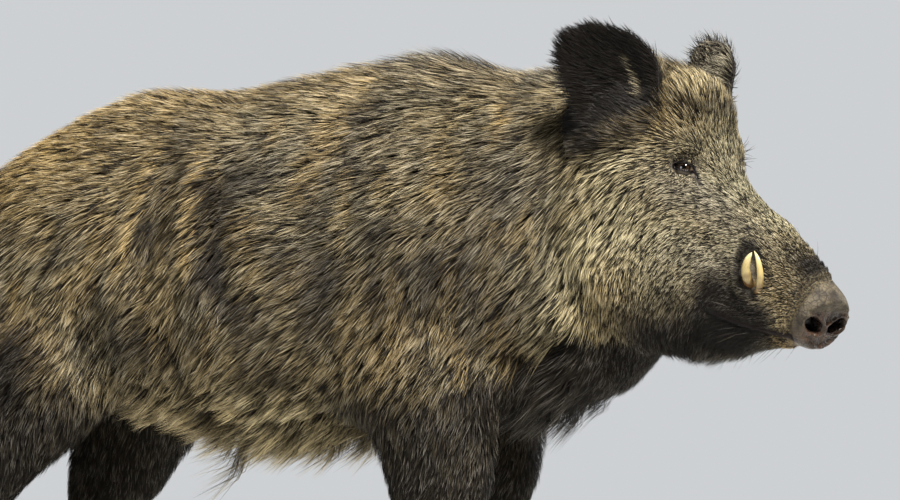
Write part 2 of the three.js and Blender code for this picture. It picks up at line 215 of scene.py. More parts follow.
def spline(rows, t):
    """Catmull-Rom through the rows at shares t: the cubic from p1 to p2 whose slopes are (p2 - p0) / 2 and
    (p3 - p1) / 2."""
    last = len(rows) - 1
    i = np.minimum((np.asarray(t) * last).astype(int), last - 1)
    f = (np.asarray(t) * last - i)[:, None]
    p0, p1, p2, p3 = (rows[np.clip(i + k, 0, last)] for k in (-1, 0, 1, 2))
    return 0.5 * (2 * p1 + (p2 - p0) * f + (2 * p0 - 5 * p1 + 4 * p2 - p3) * f**2
                  + (3 * p1 - p0 - 3 * p2 + p3) * f**3)


def path_way(rows, t, reach):
    """The way of the rows' path at shares t: the spline at t + reach less the spline at t - reach."""
    return spline(rows, np.minimum(t + reach, 1)) - spline(rows, np.maximum(t - reach, 0))


def rings(centre, side, up, top, bottom, half, square_top, square_bottom, sides):
    """Rings of half superellipses: centre + side half sgn(c) |c|^(2/n) + up h sgn(s) |s|^(2/n), where c and s
    are the cosine and sine round the ring, and h is the height of its upper or lower half."""
    a = 2 * np.pi * np.arange(sides)[None] / sides
    c, s = np.cos(a), np.sin(a)
    power = 2 / np.where(s > 0, square_top[:, None], square_bottom[:, None])
    across = half[:, None] * np.sign(c) * np.abs(c) ** power
    high = np.where(s > 0, top[:, None], bottom[:, None]) * np.sign(s) * np.abs(s) ** power
    return centre[:, None] + across[..., None] * side[:, None] + high[..., None] * up[:, None]


def barrel(rows, count, sides, ahead):
    """The trunk's or head's stations as rings across X."""
    x, top, bottom, widest, half, sq_top, sq_bottom = spline(rows, np.linspace(0, 1, count)).T
    centre = np.stack([ahead * x, 0 * x, widest], 1)
    side, up = np.tile([0.0, 1, 0], (count, 1)), np.tile([0.0, 0, 1], (count, 1))
    return rings(centre, side, up, top - widest, widest - bottom, half, sq_top, sq_bottom, sides)


def limb(rows, count, sides, square):
    """Rings square to the path down a leg's or the tail's rows; the last one is level."""
    t = np.linspace(0, 1, count)
    row = spline(rows, t)
    along = path_way(rows, t, 0.02)
    along = np.stack([along[:, 0], 0 * t, along[:, 2]], 1)
    along[-1] = (0, 0, -1)
    along = unit(along)
    side = np.tile([0.0, 1, 0], (count, 1))
    n = np.full(count, square)
    return rings(row[:, :3], side, np.cross(along, side), row[:, 3], row[:, 3], row[:, 4], n, n, sides)


def stepped(rows, side, step):
    """A leg's rows on one side of the body, moved ahead by step at the foot, and less and less from 280 mm up
    to 620 mm."""
    moved = rows.copy().astype(float)
    moved[:, 0] += step * np.clip((620 - rows[:, 2]) / (620 - 280), 0, 1)
    moved[:, 1] *= side
    return moved


EAR = {"behind": 265, "aside": 98, "height": 222, "length": 182, "half": 60, "cup": 40, "bulge": 22,
       "thick": 4.0}


def ear_frame(side):
    """The foot of an ear and its axes towards the tip, the opening and the edge, in the crown's frame. The
    left ear leans out and back more than the right one."""
    tall = unit(np.array([-0.2, side * 0.24, 0.94] if side < 0 else [-0.3, side * 0.4, 0.88]))
    facing = np.array([0.42, side * 0.9, 0.1] if side < 0 else [0.3, side * 0.95, 0.1])
    facing = unit(facing - tall * (facing @ tall))
    foot = np.array([-EAR["behind"], side * EAR["aside"], EAR["height"]], float)
    return foot, tall, facing, np.cross(facing, tall)


def ear(side, count, sides):
    """Sections up the ear: the arc centre + wide h sin(a) - facing d cos(a), thickened along its own normal,
    with round edges. Round a section, a = 85 deg c and the offset is T s; c and s trace a blunt oval."""
    foot, tall, facing, wide = ear_frame(side)
    t = np.linspace(0, 1, count)[:, None]
    half = EAR["half"] * (0.52 + 1.5 * t - 0.35 * t**2) * np.sqrt(1.02 - t**2.6) / 1.05
    depth = EAR["cup"] * (1 - 0.72 * t)
    turn = 2 * np.pi * (np.arange(sides)[None] + 0.5) / sides
    c, s = np.cos(turn), np.sin(turn)
    a = 1.477 * np.sign(c) * np.abs(c) ** 0.5
    off = EAR["thick"] * (1.1 - 0.25 * t) * np.sign(s) * np.abs(s) ** 0.6
    stretch = off / np.hypot(depth * np.sin(a), half * np.cos(a))
    across = half * np.sin(a) + stretch * depth * np.sin(a)
    deep = depth * np.cos(a) + stretch * half * np.cos(a)
    centre = foot + t * EAR["length"] * tall + side * EAR["bulge"] * np.sin(np.pi * t) * wide
    return centre[:, None] + across[..., None] * wide - deep[..., None] * facing


def wall_faces(count, sides):
    """Quads round a stack of rings: points k and k + 1 of ring i, then k + 1 and k of ring i + 1."""
    i, k = np.meshgrid(np.arange(count - 1), np.arange(sides), indexing="ij")
    n = (k + 1) % sides
    low, high = i * sides, (i + 1) * sides
    return np.stack([low + k, low + n, high + n, high + k], -1).reshape(-1, 4)


def shell_faces(count, sides, first):
    """Quads round a stack of rings, and strips of quads that close its two ends."""
    k = np.arange(sides // 2 - 1)
    end = np.stack([k, k + 1, sides - 2 - k, sides - 1 - k], -1)
    return np.concatenate([wall_faces(count, sides), end[:, ::-1], end + (count - 1) * sides]) + first


def in_head(grid):
    """Millimetres in the head's frame, ahead, to the left and up from the snout's disc, as world metres."""
    return snout_place + (grid * MM) @ head_axes.T


def in_crown(grid):
    """Millimetres in the crown's frame, which turns with the head and doesn't droop, as world metres."""
    return snout_place + (grid * MM) @ crown_axes.T


def in_body(grid):
    """Millimetres from the middle of the shoulders, on the ground, as world metres."""
    return grid * MM + np.array([WITHERS, 0, 0]) * MM


leg_rows = {}
for name, step in step_of.items():
    rows = foreleg_rows if name.startswith("fore") else hindleg_rows
    leg_rows[name] = stepped(rows, -1 if name.endswith("right") else 1, step)

grids = [in_body(barrel(trunk_rows, 110, 96, 1)), in_head(barrel(head_rows, 110, 96, -1)),
         in_body(limb(tail_rows, 40, 24, 2.0))]
grids += [in_body(limb(rows, 60, 40, 2.2)) for rows in leg_rows.values()]
grids += [in_crown(ear(side, 60, 80)) for side in (-1, 1)]

# The flesh is worked out in a swollen space, in which the head is up to four times larger than life,
# so that one even mesh gives it four times finer detail: r' = r + 3 R (1 - exp(-r / R)).
SWELL_MIDDLE = in_head(np.array([-190.0, 0, 40]))
SWELL = 0.24
VOXEL = 0.0136
near = np.linspace(0, 3, 6001)
far = near + 3 * SWELL * (1 - np.exp(-near / SWELL))


def rescale(points, before, after):
    """Every point moved along its ray from the swelling's middle, from distance before to distance after."""
    ray = points - SWELL_MIDDLE
    r = np.linalg.norm(ray, axis=1, keepdims=True)
    return SWELL_MIDDLE + ray * np.interp(r, before, after) / np.maximum(r, 1e-9)


def rows_of(values, key, width, kind):
    """One value of every item of a mesh's list, as an array with this many columns."""
    flat = np.empty(len(values) * width, kind)
    values.foreach_get(key, flat)
    return flat.reshape(-1, width)


def points_of(mesh):
    """The mesh's points, one a row."""
    return rows_of(mesh.vertices, "co", 3, np.float32).astype(float)


def normals_of(mesh):
    """The mesh's normals at its points, one a row."""
    return rows_of(mesh.vertex_normals, "vector", 3, np.float32).astype(float)


def relax(mesh, points, times, weight):
    """Each point moves by weight/2 of the way to the mean of its neighbours, times over."""
    a, b = rows_of(mesh.edges, "vertices", 2, np.int32).T
    count = np.bincount(np.r_[a, b], minlength=len(points))[:, None]
    for _ in range(times):
        total = np.stack([np.bincount(np.r_[a, b], np.r_[points[b, k], points[a, k]], len(points))
                          for k in range(3)], 1)
        points = points + weight * 0.5 * (total / count - points)
    return points


first, all_points, all_faces = 0, [], []
for grid in grids:
    all_points.append(grid.reshape(-1, 3))
    all_faces.append(shell_faces(grid.shape[0], grid.shape[1], first))
    first += grid.shape[0] * grid.shape[1]
flesh = mesh_object("flesh", rescale(np.concatenate(all_points), near, far), np.concatenate(all_faces))
remesh = flesh.modifiers.new("remesh", "REMESH")
remesh.mode, remesh.voxel_size = "VOXEL", VOXEL
solid = bpy.data.meshes.new_from_object(flesh.evaluated_get(bpy.context.evaluated_depsgraph_get()))
bpy.data.objects.remove(flesh)
solid.vertices.foreach_set("co", rescale(points_of(solid), far, near).ravel())

# Distances in the head's own frame, in metres: ahead of the disc, to the left and up.
EYES = {"right": np.array([-0.266, -0.056, 0.0925]), "left": np.array([-0.266, 0.056, 0.0925])}
EYE_RADIUS = 0.0125


def head_place(points):
    """World places as metres in the head's frame."""
    return (points - snout_place) @ head_axes


def eye_gap(q):
    """The distance to the nearer eye's middle, for places in the head's frame."""
    return np.minimum(*[np.linalg.norm(q - eye, axis=1) for eye in EYES.values()])


def refine(mesh, reach, back):
    """Quarters the faces within reach of an eye and those of the snout ahead of back: every edge whose middle
    is there is cut in two."""
    bm = bmesh.new()
    bm.from_mesh(mesh)
    q = head_place(np.array([(e.verts[0].co + e.verts[1].co) / 2 for e in bm.edges]))
    picked = (eye_gap(q) < reach) | (q[:, 0] > back) & (q[:, 0] < 0.1)
    edges = [e for e, pick in zip(bm.edges, picked) if pick]
    bmesh.ops.subdivide_edges(bm, edges=edges, cuts=1, use_grid_fill=True, smooth=0)
    bmesh.ops.triangulate(bm, faces=[f for f in bm.faces if len(f.verts) > 4])
    bm.to_mesh(mesh)
    bm.free()


refine(solid, 0.034, -0.135)
refine(solid, 0.021, -0.030)

DRAWS = 65536  # entries of a table of random numbers


def drawn_for(cells, table):
    """The table's row for each cell of a cubic lattice, (73856093 i + 19349663 j + 83492791 k) mod DRAWS."""
    return table[(cells @ np.array([73856093, 19349663, 83492791])) & (DRAWS - 1)]


def noise(points, cell, seed):
    """Smooth value noise: random numbers from -1 to 1 at a cell's eight corners, mixed by the shares
    3 f^2 - 2 f^3 of the place f in the cell."""
    table = np.random.default_rng(seed).random(DRAWS) * 2 - 1
    base = np.floor(points / cell).astype(np.int64)
    f = points / cell - base
    f = f * f * (3 - 2 * f)
    total = np.zeros(len(points))
    for corner in np.ndindex(2, 2, 2):
        off = np.array(corner)
        total += drawn_for(base + off, table) * np.prod(np.where(off, f, 1 - f), axis=1)
    return total


def leg_share(points):
    """For each leg, 1 inside 1.15 times its outline at the point's height and 0 from 1.6 times; the shares
    fade out above the elbow and stifle."""
    shares = []
    for name, rows in leg_rows.items():
        r = rows[::-1] * MM
        ahead, aside, deep, wide = (np.interp(points[:, 2], r[:, 2], r[:, k]) for k in (0, 1, 3, 4))
        away = np.hypot((points[:, 0] - WITHERS * MM - ahead) / deep, (points[:, 1] - aside) / wide)
        high = 0.47 if name.startswith("fore") else 0.44
        shares.append(smooth(1.6, 1.15, away) * smooth(high + 0.03, high - 0.05, points[:, 2]))
    return np.stack(shares, 1)


def ear_place(points, side):
    """Along the ear from its foot, across it and out of its opening, in metres."""
    foot, tall, facing, wide = ear_frame(side)
    q = (points - snout_place) @ crown_axes - foot * MM
    return q @ tall, q @ wide, q @ facing


def regions(points):
    """Named smooth shares, from 0 to 1, of each part of the body, and the places they are worked out from."""
    x, y, z = points.T
    q = head_place(points)
    share = {"x": x - WITHERS * MM, "y": y, "z": z, "q": q}
    share["head"] = smooth(-0.44, -0.36, q[:, 0]) * smooth(0.34, 0.40, x)
    share["face"] = smooth(-0.36, -0.27, q[:, 0]) * share["head"]
    share["legs"] = leg_share(points)
    share["leg"] = share["legs"].max(1)
    ears = []
    for side in (-1, 1):
        t, w, f = ear_place(points, side)
        reach = np.interp(t, [0, 0.05, 0.10, 0.18], [0.050, 0.072, 0.088, 0.10])
        ears.append(smooth(0.008, 0.030, t) * smooth(1.08, 0.95, np.hypot(w, f) / reach) * (t < 0.22))
    share["ears"] = np.stack(ears, 1)
    share["ear"] = share["ears"].max(1)
    rows = tail_rows[::-1] * MM
    tail_x = np.interp(z, rows[:, 2], rows[:, 0])
    gap = np.hypot(share["x"] - tail_x, y)
    share["tail"] = smooth(0.045, 0.03, gap) * smooth(-0.785, -0.80, share["x"]) * (z < 0.715)
    share["disc"] = smooth(-0.026, -0.019, q[:, 0]) * smooth(0.09, 0.08, np.hypot(q[:, 1], q[:, 2]))
    above = q[:, 2] - 0.022
    share["pocket"] = np.hypot((q[:, 0] + 0.105 + 0.5 * above) / 0.019, above / 0.030)  # 1 at its edge
    lips = smooth(0.0055, 0.0025, np.abs(q[:, 2] - mouth_height(q[:, 0])))
    lips = lips * smooth(-0.150, -0.13, q[:, 0]) * smooth(-0.010, -0.016, q[:, 0])
    share["lips"] = lips * (np.abs(q[:, 1]) > 0.01)
    share["trunk"] = (1 - share["head"]) * (1 - share["leg"]) * (1 - share["tail"]) * (1 - share["ear"])
    return share


def mouth_height(qx):
    """The mouth's line in the head's frame: it sags from under the disc and climbs again at its corner."""
    up = np.array([-46, -54, -52, -47, -38, -31]) * MM
    return np.interp(qx, [-0.172, -0.15, -0.12, -0.09, -0.05, -0.018], up)


def ruff_edge(x):
    """The height at which the tan ruff of cheek and neck ends over the throat, along the body; below it the
    coat is painted dark, for black hair and painted shade.
    """
    return np.interp(x, [0.04, 0.15, 0.22, 0.30, 0.40, 0.50], [0.430, 0.476, 0.514, 0.508, 0.518, 0.520])


def flank_crease(x, z):
    """1 along the crease where the thigh meets the belly."""
    return bell(x + 0.343 + 0.337 * (z - 0.491), 0, 0.010) * smooth(0.54, 0.49, z) * smooth(0.365, 0.40, z)


BODY_COAT, FACE_COAT, LEG_COAT, EAR_COAT, TAIL_COAT = 0.021, 0.0035, 0.0035, 0.0014, 0.007  # m deep, at least


def coat_depth(share):
    """The depth of the coat in metres: deeper on withers, belly, cheeks, crown, chin and upper legs."""
    q, z = share["q"], share["z"]
    depth = BODY_COAT + 0.005 * smooth(0.80, 0.88, z) + 0.006 * smooth(0.46, 0.38, z)
    cheek = bell(q[:, 0], -0.33, 0.07) * smooth(0.06, -0.02, q[:, 2])
    crown = smooth(0.10, 0.17, q[:, 2]) * smooth(-0.22, -0.30, q[:, 0])
    chin = smooth(-0.05, -0.10, q[:, 2]) * bell(q[:, 0], -0.16, 0.05)
    face = FACE_COAT + 0.014 * cheek + 0.006 * crown + 0.007 * chin
    face = face * smooth(-0.020, -0.055, q[:, 0]) + 0.0003
    depth += (face - depth) * share["face"]
    leg = LEG_COAT + 0.0125 * smooth(0.22, 0.42, z)
    depth += (leg - depth) * share["leg"]
    depth += (EAR_COAT - depth) * share["ear"]
    tail = TAIL_COAT + 0.008 * smooth(0.56, 0.46, z)
    return depth + (tail - depth) * share["tail"]


# Blend the legs and neck into the trunk, but leave the head, ears and feet crisp.
points = points_of(solid)
share = regions(points)
keen = np.clip(share["head"] + share["ear"] + share["leg"] * smooth(0.30, 0.22, share["z"]), 0, 1)[:, None]
points = keen * relax(solid, points, 3, 1.0) + (1 - keen) * relax(solid, points, 22, 1.0)
solid.vertices.foreach_set("co", points.ravel())
solid.update()
normals = unit(relax(solid, normals_of(solid), 6, 1.0))
share = regions(points)

SLIT_HALF, SLIT_OPEN = 0.0132, 0.0046  # m, of an eye's slit
LEAST_DOME = 2.9e-6  # m2, the square of the lid's height at its foot


def eye_axes(side):
    """Out of an eye, along its slit towards the snout, and up across the slit, in the head's frame."""
    out = unit(np.array([0.30, side * 0.86, 0.34]))
    level = np.array([1.0, 0, 0.38])
    along = unit(level - out * (level @ out))
    return out, along, np.cross(along, out) * side


def eye_views(q):
    """For each eye, right and then left: the way from its middle to each place, and the eye's three axes."""
    for side, eye in zip((-1, 1), EYES.values()):
        yield (q - eye, *eye_axes(side))


def slit_edge(a):
    """The half height of an eye's slit at a along it: open (1 - (a / half)^2)^0.8."""
    return SLIT_OPEN * np.clip(1 - (a / SLIT_HALF) ** 2, 0, 1) ** 0.8


def tear_gap(a, b):
    """The distance of (a, b), along and across an eye's slit, from the tear groove, a straight line that runs
    down from the slit's inner corner."""
    from_a, from_b, run_a, run_b = 0.0132, -0.0005, 0.0170, -0.0160
    t = np.clip(((a - from_a) * run_a + (b - from_b) * run_b) / (run_a**2 + run_b**2), 0, 1)
    return np.hypot(a - from_a - run_a * t, b - from_b - run_b * t)


# How far each form stands out, its middle and reach ahead and up, and where aside it sets in, in metres.
FACE_FORMS = (
    (0.006, -0.300, 0.035, 0.030, 0.030, 0.05, 0.09),  # cheekbone
    (0.007, -0.265, 0.032, 0.122, 0.017, 0.03, 0.05),  # brow
    (0.004, -0.255, 0.030, 0.068, 0.014, 0.03, 0.06),  # pad under the eye
    (-0.007, -0.175, 0.050, 0.020, 0.022, 0.03, 0.06),  # hollow of the cheek
    (-0.004, -0.232, 0.022, 0.075, 0.018, 0.03, 0.06),  # hollow ahead of the eye
    (0.006, -0.310, 0.050, -0.100, 0.040, -1.0, 0.0),  # jaw muscle
    (0.004, -0.105, 0.030, 0.012, 0.020, 0.02, 0.04))  # tusk root
# The flank's ridges and valleys: where each crosses 0.65 m up, its lean, and its height.
FLANK_FOLDS = ((-0.408, 0.27, 1.0), (-0.372, 0.20, -0.9), (-0.332, 0.10, 0.5), (-0.300, 0.0, 1.0),
               (-0.262, -0.1, -1.1))


def carve(points, share):
    """Moves out along the normal, in metres, that model the bones and muscles under the hide and its folds: a
    sum of products of bells."""
    q, x, y, z = share["q"], share["x"], share["y"], share["z"]
    qx, qy, qz = q.T
    head = share["head"]
    aside = np.abs(qy)
    out = sum(high * bell(qx, ahead, reach) * bell(qz, up, tall) * smooth(inner, outer, aside)
              for high, ahead, reach, up, tall, inner, outer in FACE_FORMS)
    mouth = mouth_height(qx)
    wrinkle = np.sin((qx + 0.25 * aside + 0.006 * noise(points, 0.03, 11)) * 2 * np.pi / 0.0105)
    out += 0.0011 * wrinkle * smooth(-0.10, -0.05, qx) * smooth(-0.018, -0.03, qx) * smooth(-0.02, 0.02, qz)
    groove = smooth(0.0060, 0.0, np.abs(qz - mouth)) * (aside > 0.012)
    out -= 0.0055 * groove * smooth(-0.178, -0.165, qx) * smooth(-0.012, -0.024, qx)
    out += 0.0030 * bell(qz - mouth, 0.010, 0.005) * smooth(-0.16, -0.12, qx) * smooth(-0.02, -0.04, qx)
    pocket = 0.004 * bell(share["pocket"], 1.2, 0.3) - 0.009 * smooth(1.0, 0.4, share["pocket"])
    out += pocket * smooth(0.02, 0.035, aside)
    out += 0.006 * bell(qx, -0.285, 0.050) * smooth(0.13, 0.17, qz)  # dome of the skull
    out *= head
    rim = bell(qx, -0.010, 0.007) - 1.2 * bell(qx, -0.027, 0.006)
    out += 0.0026 * rim * smooth(-0.045, -0.03, qx)
    fold = sum(high * bell(x - lean * (z - 0.65), middle, 0.014) for middle, lean, high in FLANK_FOLDS)
    out += 0.014 * fold * smooth(0.50, 0.58, z) * smooth(0.79, 0.70, z) * share["trunk"]
    out -= 0.012 * flank_crease(x, z) * (1 - share["face"])
    over = z - ruff_edge(x)
    ruff = 0.010 * bell(over, 0.022, 0.022) - 0.014 * bell(over, -0.022, 0.020)
    out += ruff * smooth(0.14, 0.20, x) * smooth(0.02, 0.06, np.abs(y)) * (1 - share["face"])
    shoulder = bell(x, 0.03, 0.085) * bell(z, 0.62, 0.13) - 0.6 * bell(x, -0.10, 0.05) * bell(z, 0.60, 0.12)
    out += 0.016 * shoulder * share["trunk"]
    out += 0.014 * bell(x, -0.56, 0.10) * bell(z, 0.62, 0.10) * share["trunk"]  # thigh
    out -= 0.012 * bell(x, -0.43, 0.05) * bell(z, 0.70, 0.08) * share["trunk"]  # hollow of the flank
    rough = 0.0012 * noise(points, 0.022, 13) * head * (qx < -0.03)
    out += 0.005 * noise(points, 0.09, 12) * share["trunk"] + rough
    return out


points = points + normals * (carve(points, share) - coat_depth(share))[:, None]
points = relax(solid, points, 1, 0.6)

# Nostrils are pits driven straight back into the disc; lids are drawn over each eyeball to an almond slit.
q = head_place(points)
face_of_disc = smooth(-0.020, -0.006, q[:, 0])
q[:, 0] += smooth(-0.050, -0.010, q[:, 0]) * 0.30 * np.minimum(q[:, 1] + 0.012, 0)
in_nostril = np.zeros(len(q))
q[:, 1:] *= 1 + np.array([0.085, -0.050]) * bell(q[:, :1], -0.007, 0.013)
cleft = 0.0016 * bell(q[:, 1], 0, 0.004) * (q[:, 2] < 0.02)
q[:, 0] -= face_of_disc * (2.6 * q[:, 1] ** 2 + cleft)
q[:, 0] += face_of_disc * 0.0045 * bell(np.hypot(q[:, 1] / 1.12, q[:, 2]), 0.037, 0.007)
for side in (-1, 1):
    aside = q[:, 1] - side * 0.0235
    pit = np.hypot(aside / 0.0180, (q[:, 2] + 0.003 - 0.25 * side * aside) / 0.0105)
    in_nostril = np.maximum(in_nostril, smooth(1.02, 0.84, pit) * (face_of_disc > 0.3))
    sunk = 0.019 * smooth(1.0, 0.66, pit) - 0.0026 * bell(pit, 1.28, 0.22)
    q[:, 0] -= np.where(face_of_disc > 0.3, sunk, 0)
for v, outward, along, across in eye_views(q):
    a, b, c = v @ along, v @ across, v @ outward
    slit = slit_edge(a)
    beyond = np.maximum(b - 0.0006 - slit, -(b - 0.0006) - 0.85 * slit)  # past the edge of either lid
    open_eye = smooth(0.0006, -0.0008, beyond) * (np.abs(a) < SLIT_HALF)
    lid = EYE_RADIUS + 0.0019 + 0.0010 * bell(beyond, 0.0022, 0.0016) - 0.0045 * open_eye
    lid -= 0.0016 * smooth(0.018, 0.010, np.abs(a)) * (bell(b, 0.0090, 0.0020) + bell(b, -0.0082, 0.0020))
    flat = np.hypot(a, b)
    dome = np.sqrt(np.maximum(lid**2 - flat**2, LEAST_DOME))
    tear = bell(tear_gap(a, b), 0, 0.0022) * (flat < 0.04)
    share_of_lid = smooth(0.0150, 0.0095, flat) * (c > -0.015) * (np.abs(c) < 0.03)
    q += (share_of_lid * (dome - c) - 0.0026 * tear * (c > -0.015))[:, None] * outward
points = snout_place + q @ head_axes.T
solid.vertices.foreach_set("co", points.ravel())
solid.update()


# How the coat lies: a place ahead and up, in millimetres, and the way that its hairs point, ahead and up.
LIE_ON_HEAD = np.array([
    [-20, 50, -0.85, 0.50], [-41, 67, -0.85, 0.50], [-104, 88, -0.75, 0.65], [-147, 101, -0.70, 0.70],
    [-237, 163, -0.40, 0.90], [-305, 207, -0.35, 0.93], [-320, 138, -0.80, 0.55], [-298, 95, -0.90, -0.45],
    [-304, 55, -0.75, -0.65], [-209, 50, -1.00, -0.05], [-200, 15, -0.90, -0.42], [-207, -25, -0.50, -0.87],
    [-222, -84, -0.25, -0.97], [-147, 30, -0.95, 0.30], [-171, 31, -1.00, 0.00], [-179, 12, -0.85, -0.50],
    [-181, -11, -0.60, -0.80], [-163, -19, -0.75, -0.65], [-99, -43, -0.95, -0.30],
    [-114, -99, -0.60, -0.80], [-159, -68, -0.30, -0.95], [-285, -8, -0.55, -0.83],
    [-250, -135, -0.10, -1.00], [-213, -134, 0.25, -0.97], [-36, 16, -0.90, 0.10], [-70, -20, -0.95, -0.15],
    [-400, 150, -1.00, -0.10], [-380, -20, -0.50, -0.87], [-360, -120, -0.15, -1.00]])
LIE_ON_BODY = np.array([
    [-800, 600, -0.10, -1.00], [-720, 720, -0.50, -0.85], [-600, 800, -0.90, -0.40],
    [-600, 600, -0.70, -0.70], [-560, 450, -0.55, -0.85], [-450, 840, -1.00, -0.15],
    [-450, 650, -0.85, -0.50], [-400, 500, -0.70, -0.70], [-310, 580, -0.25, -0.97],
    [-370, 640, -0.25, -0.97], [-230, 740, -0.96, -0.28], [-250, 850, -1.00, -0.12],
    [-200, 660, -0.90, -0.44], [-200, 480, -0.85, -0.55], [-150, 380, -0.90, -0.40],
    [-100, 860, -0.97, -0.16], [-90, 740, -0.92, -0.40], [120, 800, -0.92, -0.38], [-80, 600, -0.80, -0.60],
    [-50, 450, -0.60, -0.80], [0, 520, -0.15, -1.00], [50, 900, -0.90, 0.42], [50, 740, -0.86, -0.50],
    [70, 640, -0.70, -0.71], [100, 400, -0.60, -0.80], [150, 870, -1.00, 0.00], [180, 660, -0.62, -0.78],
    [150, 520, -0.80, -0.60], [240, 760, -0.82, -0.57], [260, 620, -0.45, -0.90], [220, 440, -0.80, -0.60],
    [320, 450, -0.35, -0.93]])


def table_way(table, along, up, reach):
    """The mean of the table's ways, weighed by exp(-(distance / reach)^2), as world vectors with no Y."""
    total = np.zeros((len(along), 3))
    for a, u, way_x, way_z in table:
        weight = np.exp(-((along - a * MM) ** 2 + (up - u * MM) ** 2) / reach**2) + 1e-9
        total[:, 0] += weight * way_x
        total[:, 2] += weight * way_z
    return unit(total)


def lie(normals, share):
    """The way the coat lies: as the tables say on body and head, parted round the eyes, back under the belly,
    down on legs and tail, and up and to the rear edge on the ears; then laid flat on the hide."""
    level = 0 * share["z"]
    way = table_way(LIE_ON_BODY, share["x"], share["z"], 0.085)
    belly = (smooth(-0.5, -0.85, normals[:, 2]) * share["trunk"])[:, None]
    way += belly * (np.array([-0.8, 0, -0.6]) - way)
    on_head = table_way(LIE_ON_HEAD, share["q"][:, 0], share["q"][:, 2], 0.038)
    for v, outward, along, across in eye_views(share["q"]):
        parted = np.clip(v @ across / 0.006, -1, 1) * smooth(0.030, 0.016, np.linalg.norm(v, axis=1))
        on_head += 1.1 * parted[:, None] * (head_axes @ across)
    way += share["head"][:, None] * (on_head - way)
    way += (share["leg"] * smooth(0.50, 0.38, share["z"]))[:, None] * (np.array([-0.30, 0, -1.0]) - way)
    on_ear = np.stack([level - 0.90, level, 0.15 + 0.65 * smooth(0.83, 0.90, share["z"])], 1)
    way += share["ear"][:, None] * (on_ear - way)
    way += share["tail"][:, None] * (np.array([-0.05, 0, -1.0]) - way)
    way -= normals * (way * normals).sum(1, keepdims=True)
    return way / np.maximum(np.linalg.norm(way, axis=1, keepdims=True), 1e-6)


def spots(table, along, up):
    """The sum of strength exp(-(da / ra)^2 - (du / ru)^2) over a table of spots, cut to 0..1."""
    total = np.zeros(len(along))
    for a, u, reach_a, reach_u, strength in table:
        off = -(((along - a * MM) / (reach_a * MM)) ** 2) - ((up - u * MM) / (reach_u * MM)) ** 2
        total += strength * np.exp(off)
    return np.clip(total, 0, 1)


# Soft spots of each colour: middle ahead and up, reach ahead and up, all in millimetres, and strength.
GOLD_ON_BODY = [[-600, 770, 200, 90, 1.0], [-250, 840, 200, 45, 0.35], [-350, 560, 36, 80, 0.5],
                [-250, 410, 200, 62, 1.0], [3, 500, 42, 66, 0.7], [262, 575, 58, 75, 0.8]]
DARK_ON_BODY = [[-93, 580, 50, 62, 0.55], [-255, 640, 42, 85, 0.60], [-270, 715, 60, 35, 0.35],
                [126, 560, 75, 75, 0.50], [-190, 500, 60, 60, 0.30], [-625, 440, 120, 85, 1.0],
                [60, 630, 90, 80, 0.30], [40, 905, 190, 38, 0.55], [-200, 890, 120, 28, 0.35],
                [60, 400, 60, 60, 0.40], [-700, 500, 80, 90, 0.40], [-20, 380, 60, 60, 0.50]]
GREY_ON_BODY = [[50, 880, 140, 40, 0.6], [-150, 760, 160, 60, 0.35], [0, 480, 40, 50, 0.3],
                [300, 820, 60, 60, 0.4], [180, 690, 60, 80, 0.35]]
GOLD_ON_HEAD = [[-320, 202, 78, 42, 1.0], [-318, 135, 42, 26, 0.6], [-315, -118, 46, 50, 0.9],
                [-330, -60, 60, 110, 0.8], [-38, -50, 18, 14, 1.0], [-200, 40, 60, 18, 0.35],
                [-50, 20, 30, 30, 0.3]]
# Its first spot is a painted shadow, where the dome of the skull ends over the brows.
DARK_ON_HEAD = [[-296, 163, 34, 10, 0.60], [-312, 140, 45, 26, 0.30], [-228, -125, 44, 34, 0.85],
                [-175, -112, 36, 30, 0.85], [-105, -66, 46, 36, 1.0], [-140, -58, 26, 42, 0.9],
                [-112, -28, 44, 30, 1.0], [-68, -34, 26, 28, 0.65], [-48, 62, 26, 14, 0.92],
                [-38, 28, 24, 30, 0.55], [-205, -30, 40, 45, 0.25], [-365, 170, 30, 55, 0.5],
                [-215, -165, 50, 24, 0.8]]
GREY_ON_HEAD = [[-232, 72, 60, 36, 0.9], [-190, 5, 70, 50, 0.4], [-150, 30, 40, 30, 0.5],
                [-155, -95, 20, 40, 0.6]]
# The second pale spot is painted light: it lightens the belly as if light were bounced up onto it from the
# ground.
PALE_ON_BODY = [[262, 575, 75, 95, 0.72], [-250, 400, 190, 56, 0.52]]
# Its spots from 120 to 268 mm behind the disc, along the top of the snout, are a painted highlight on the
# bridge.
PALE_ON_HEAD = [[-312, 200, 60, 34, 0.62], [-330, -40, 60, 110, 0.60], [-240, 0, 70, 70, 0.34],
                [-120, 98, 60, 20, 0.8], [-175, 106, 60, 18, 0.85], [-232, 134, 40, 15, 0.8],
                [-268, 160, 20, 13, 0.6], [-150, 40, 40, 14, 0.4]]


def ear_ridge(points, share):
    """1 along the row of pale hairs inside the edge of each ear, whose half width there is interpolated."""
    ridge = 0.0
    for side in (-1, 1):
        t, w, _ = ear_place(points, side)
        half = np.interp(t, [0.060, 0.077, 0.091, 0.107, 0.117], [0.052, 0.055, 0.055, 0.052, 0.050])
        line = bell(side * w - half, 0, 0.0032) * smooth(0.056, 0.070, t) * smooth(0.124, 0.112, t)
        ridge = np.maximum(ridge, line)
    return ridge * share["ear"]


